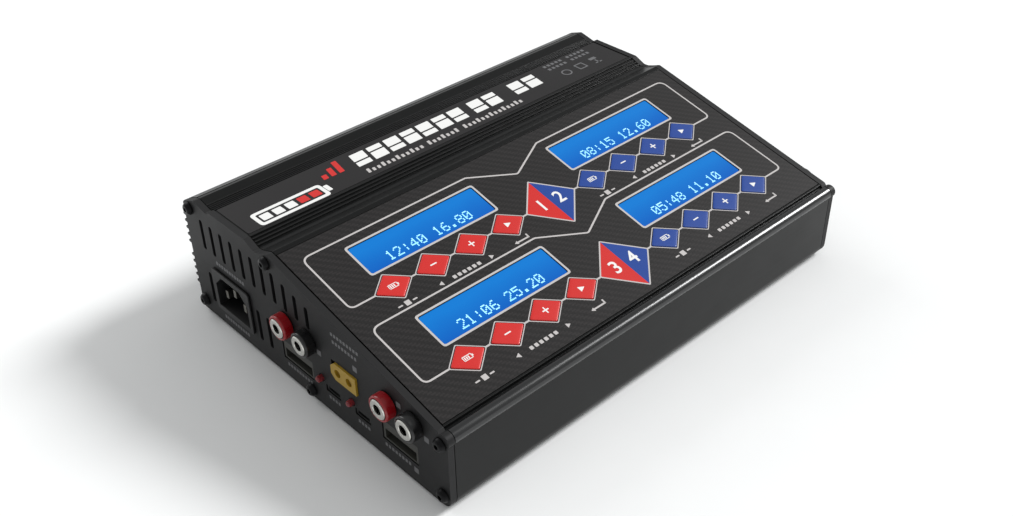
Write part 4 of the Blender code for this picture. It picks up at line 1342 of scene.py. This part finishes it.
def battery_sign():
    """White case and cells, red last cells, and three red bars that rise beside it."""
    x, y = -89.0, 41.4
    outer, inner = rounded_rect(x, y, 35, 10.4, 2), rounded_rect(x, y, 31.4, 6.8, 0.8)
    cells = [bar(x - 12.4 + k * 6.2, y, 4.6, 4.6, 0.4) for k in range(5)]
    rising = [slanted(-67.5 + k * 4.2, 2.6, 47.5, 51.0 + k * 3.2) for k in range(3)]
    nub = bar(x + 18.9, y, 2.2, 5.0, 0.5)
    return (outer, inner), cells[:3] + [nub], cells[3:] + rising


def note_signs():
    """Rows of small squares, with a ring, a square and a stand under them."""
    squares = [bar(75.5 + k * 2.7, y, 1.7, 1.9) for y, count in NOTE_ROWS
               for k in range(count) if k % 6 != 5]
    pillar = [bar(99.5, 47.2, 4.4, 2.2), bar(99.5, 43.7, 0.9, 3.4), bar(99.5, 42.4, 4.4, 0.8)]
    rings = [(arc(79.5, 45.5, 2.9, 0, 345, 23), arc(79.5, 45.5, 2.1, 0, 345, 23)),
             (rounded_rect(89.5, 45.5, 5.6, 5.6, 0.5), rounded_rect(89.5, 45.5, 4.0, 4.0, 0.2))]
    return squares + pillar, rings


def print_label(name, ink, shapes, rings=()):
    """Prints closed shapes and rings in one ink on the label film."""
    bm = bmesh.new()
    for shape in shapes:
        add_prism(bm, shape, LABEL_TOP - 0.02, MARK_TOP)
    for outer, inner in rings:
        add_ring(bm, outer, inner, LABEL_TOP - 0.02, MARK_TOP)
    finish_piece(new_object(name, bm, LIFT, [ink]))


x0, x1, y0, y1 = LABEL
bm = bmesh.new()
add_prism(bm, rounded_rect((x0 + x1) / 2, (y0 + y1) / 2, x1 - x0, y1 - y0, 0.6), 59.3, LABEL_TOP)
finish_piece(new_object("crown_label_film", bm, LIFT, [LABEL_FILM]))
case_sign, white, red = battery_sign()
print_label("crown_label_white_marks", WHITE_INK, white + title_blocks(), [case_sign])
print_label("crown_label_red_marks", RED_INK, red)
print_label("crown_label_small_marks", GREY_INK,
            [slanted(start + k * 2.7, 1.5, 38.6, 38.6 + (2.4 if k % 3 else 3.4))
             for start, count in SUBTITLE_WORDS for k in range(count)])
print_label("crown_label_notes", DIM_INK, *note_signs())

# %% [markdown]
# ## Printing on the end plates
#
# The plates are printed beside each socket. The words are left out, and small bars and squares
# in the same dim ink keep their place. One bar and one square are drawn, and the `seats` tree
# prints them on both plates.

# %% Plate printing
PLATE_INK = 0.04
NOTE_SQUARES = ((-12.4, 28.5), (-62.4, 34.0), (-77.9, 27.5), (-36.4, 35.0), (-70.4, 6.5))
NOTE_LINES = ((-39.0, 44.2, 9), (-37.5, 40.6, 8), (-3.6, 7.4, 9), (-66.6, 7.4, 8),
              (-22.6, 8.0, 4), (-41.8, 8.0, 4))
MAINS_NOTES = ((40.6, 33.9, 11), (43.6, 4.6, 10))


def line_places(lines):
    return [(y + k * 2.0, z) for y, z, count in lines for k in range(count)]


def print_mark(name, width, height, places, sides=SIDES):
    bm = bmesh.new()
    add_prism(bm, rounded_rect(0, 0, height, width, 0.2, 2), -PLATE_INK, PLATE_INK)
    mark = new_object("mark", bm, FACING_X, [DIM_INK])
    seats = [seat for side in sides for seat in plate_seats(side, places)]
    finish_piece(at_seats(name, mark, seats, DIM_INK, smooth=None))


print_mark("plate_note_squares", 2.6, 2.6, NOTE_SQUARES)
print_mark("plate_note_lines", 1.3, 1.6, line_places(NOTE_LINES))
print_mark("mains_inlet_notes", 1.4, 1.8, line_places(MAINS_NOTES), ["left"])

# %% [markdown]
# ## Floor, light and camera
#
# The charger stands on a pale floor in a pale room, which lights its dark sides. A broad light
# from the right puts the bright line on the bead and throws the shadow to the left, and a weak
# one behind lifts the ridge.


# %% Floor
FLOOR_SIZE = 6000.0
bm = bmesh.new()
add_prism(bm, [(x * FLOOR_SIZE, y * FLOOR_SIZE) for x, y in ((-1, -1), (1, -1), (1, 1), (-1, 1))],
          -5, 0)
new_object("studio_floor", bm, Matrix.Identity(4),
                    [finish("pale_studio_floor", "#eff0f0", "#f3f4f4", 40, (0.75, 0.85), 0.01)])


# %% Lights
def area_light(name, place, size, power):
    """A square soft light that faces the charger. Place and size are in metres."""
    data = bpy.data.lights.new(name, "AREA")
    data.size = size
    data.energy = power
    light = add_object(name, data)
    light.location = place
    aim = Vector((0, 0, 0.03)) - Vector(place)
    light.rotation_euler = aim.to_track_quat("-Z", "Y").to_euler()


def sun_light(name, towards, softness, power):
    """A broad distant light that comes from the given direction; softness is in degrees."""
    data = bpy.data.lights.new(name, "SUN")
    data.energy = power
    data.angle = math.radians(softness)
    light = add_object(name, data)
    light.rotation_euler = Vector(towards).to_track_quat("Z", "Y").to_euler()


sun_light("main_light", (0.75, -0.27, 0.6), 20, 3.1)
area_light("back_light", (-0.2, 1.2, 0.9), 0.8, 5)
world = bpy.data.worlds.new("studio")
world.use_nodes = True
feed(world.node_tree.nodes["Background"], {"Color": linear("#fafbfb"), "Strength": 0.5})
bpy.context.scene.world = world
bpy.context.scene.view_settings.view_transform = "Standard"

# %% [markdown]
# The camera stands up and to the left of the front corner, near enough for the far edges to
# draw together.

# %% Camera
CAMERA_PLACE = Vector((-300.6, -321.6, 326.9)) * MM
CAMERA_TILT, CAMERA_TURN, CAMERA_ROLL = 54.39, -42.47, -1.08
LENS, SENSOR = 41.56, 36
SHIFT = (0.0013, -0.0017)

camera = add_object("camera", bpy.data.cameras.new("camera"))
camera.data.sensor_width = SENSOR
camera.data.lens = LENS
camera.data.shift_x, camera.data.shift_y = SHIFT
camera.data.clip_start = 0.01
camera.matrix_world = (Matrix.Translation(CAMERA_PLACE)
                       @ Matrix.Rotation(math.radians(CAMERA_TURN), 4, "Z")
                       @ Matrix.Rotation(math.radians(CAMERA_TILT), 4, "X")
                       @ Matrix.Rotation(math.radians(CAMERA_ROLL), 4, "Z"))
bpy.context.scene.camera = camera
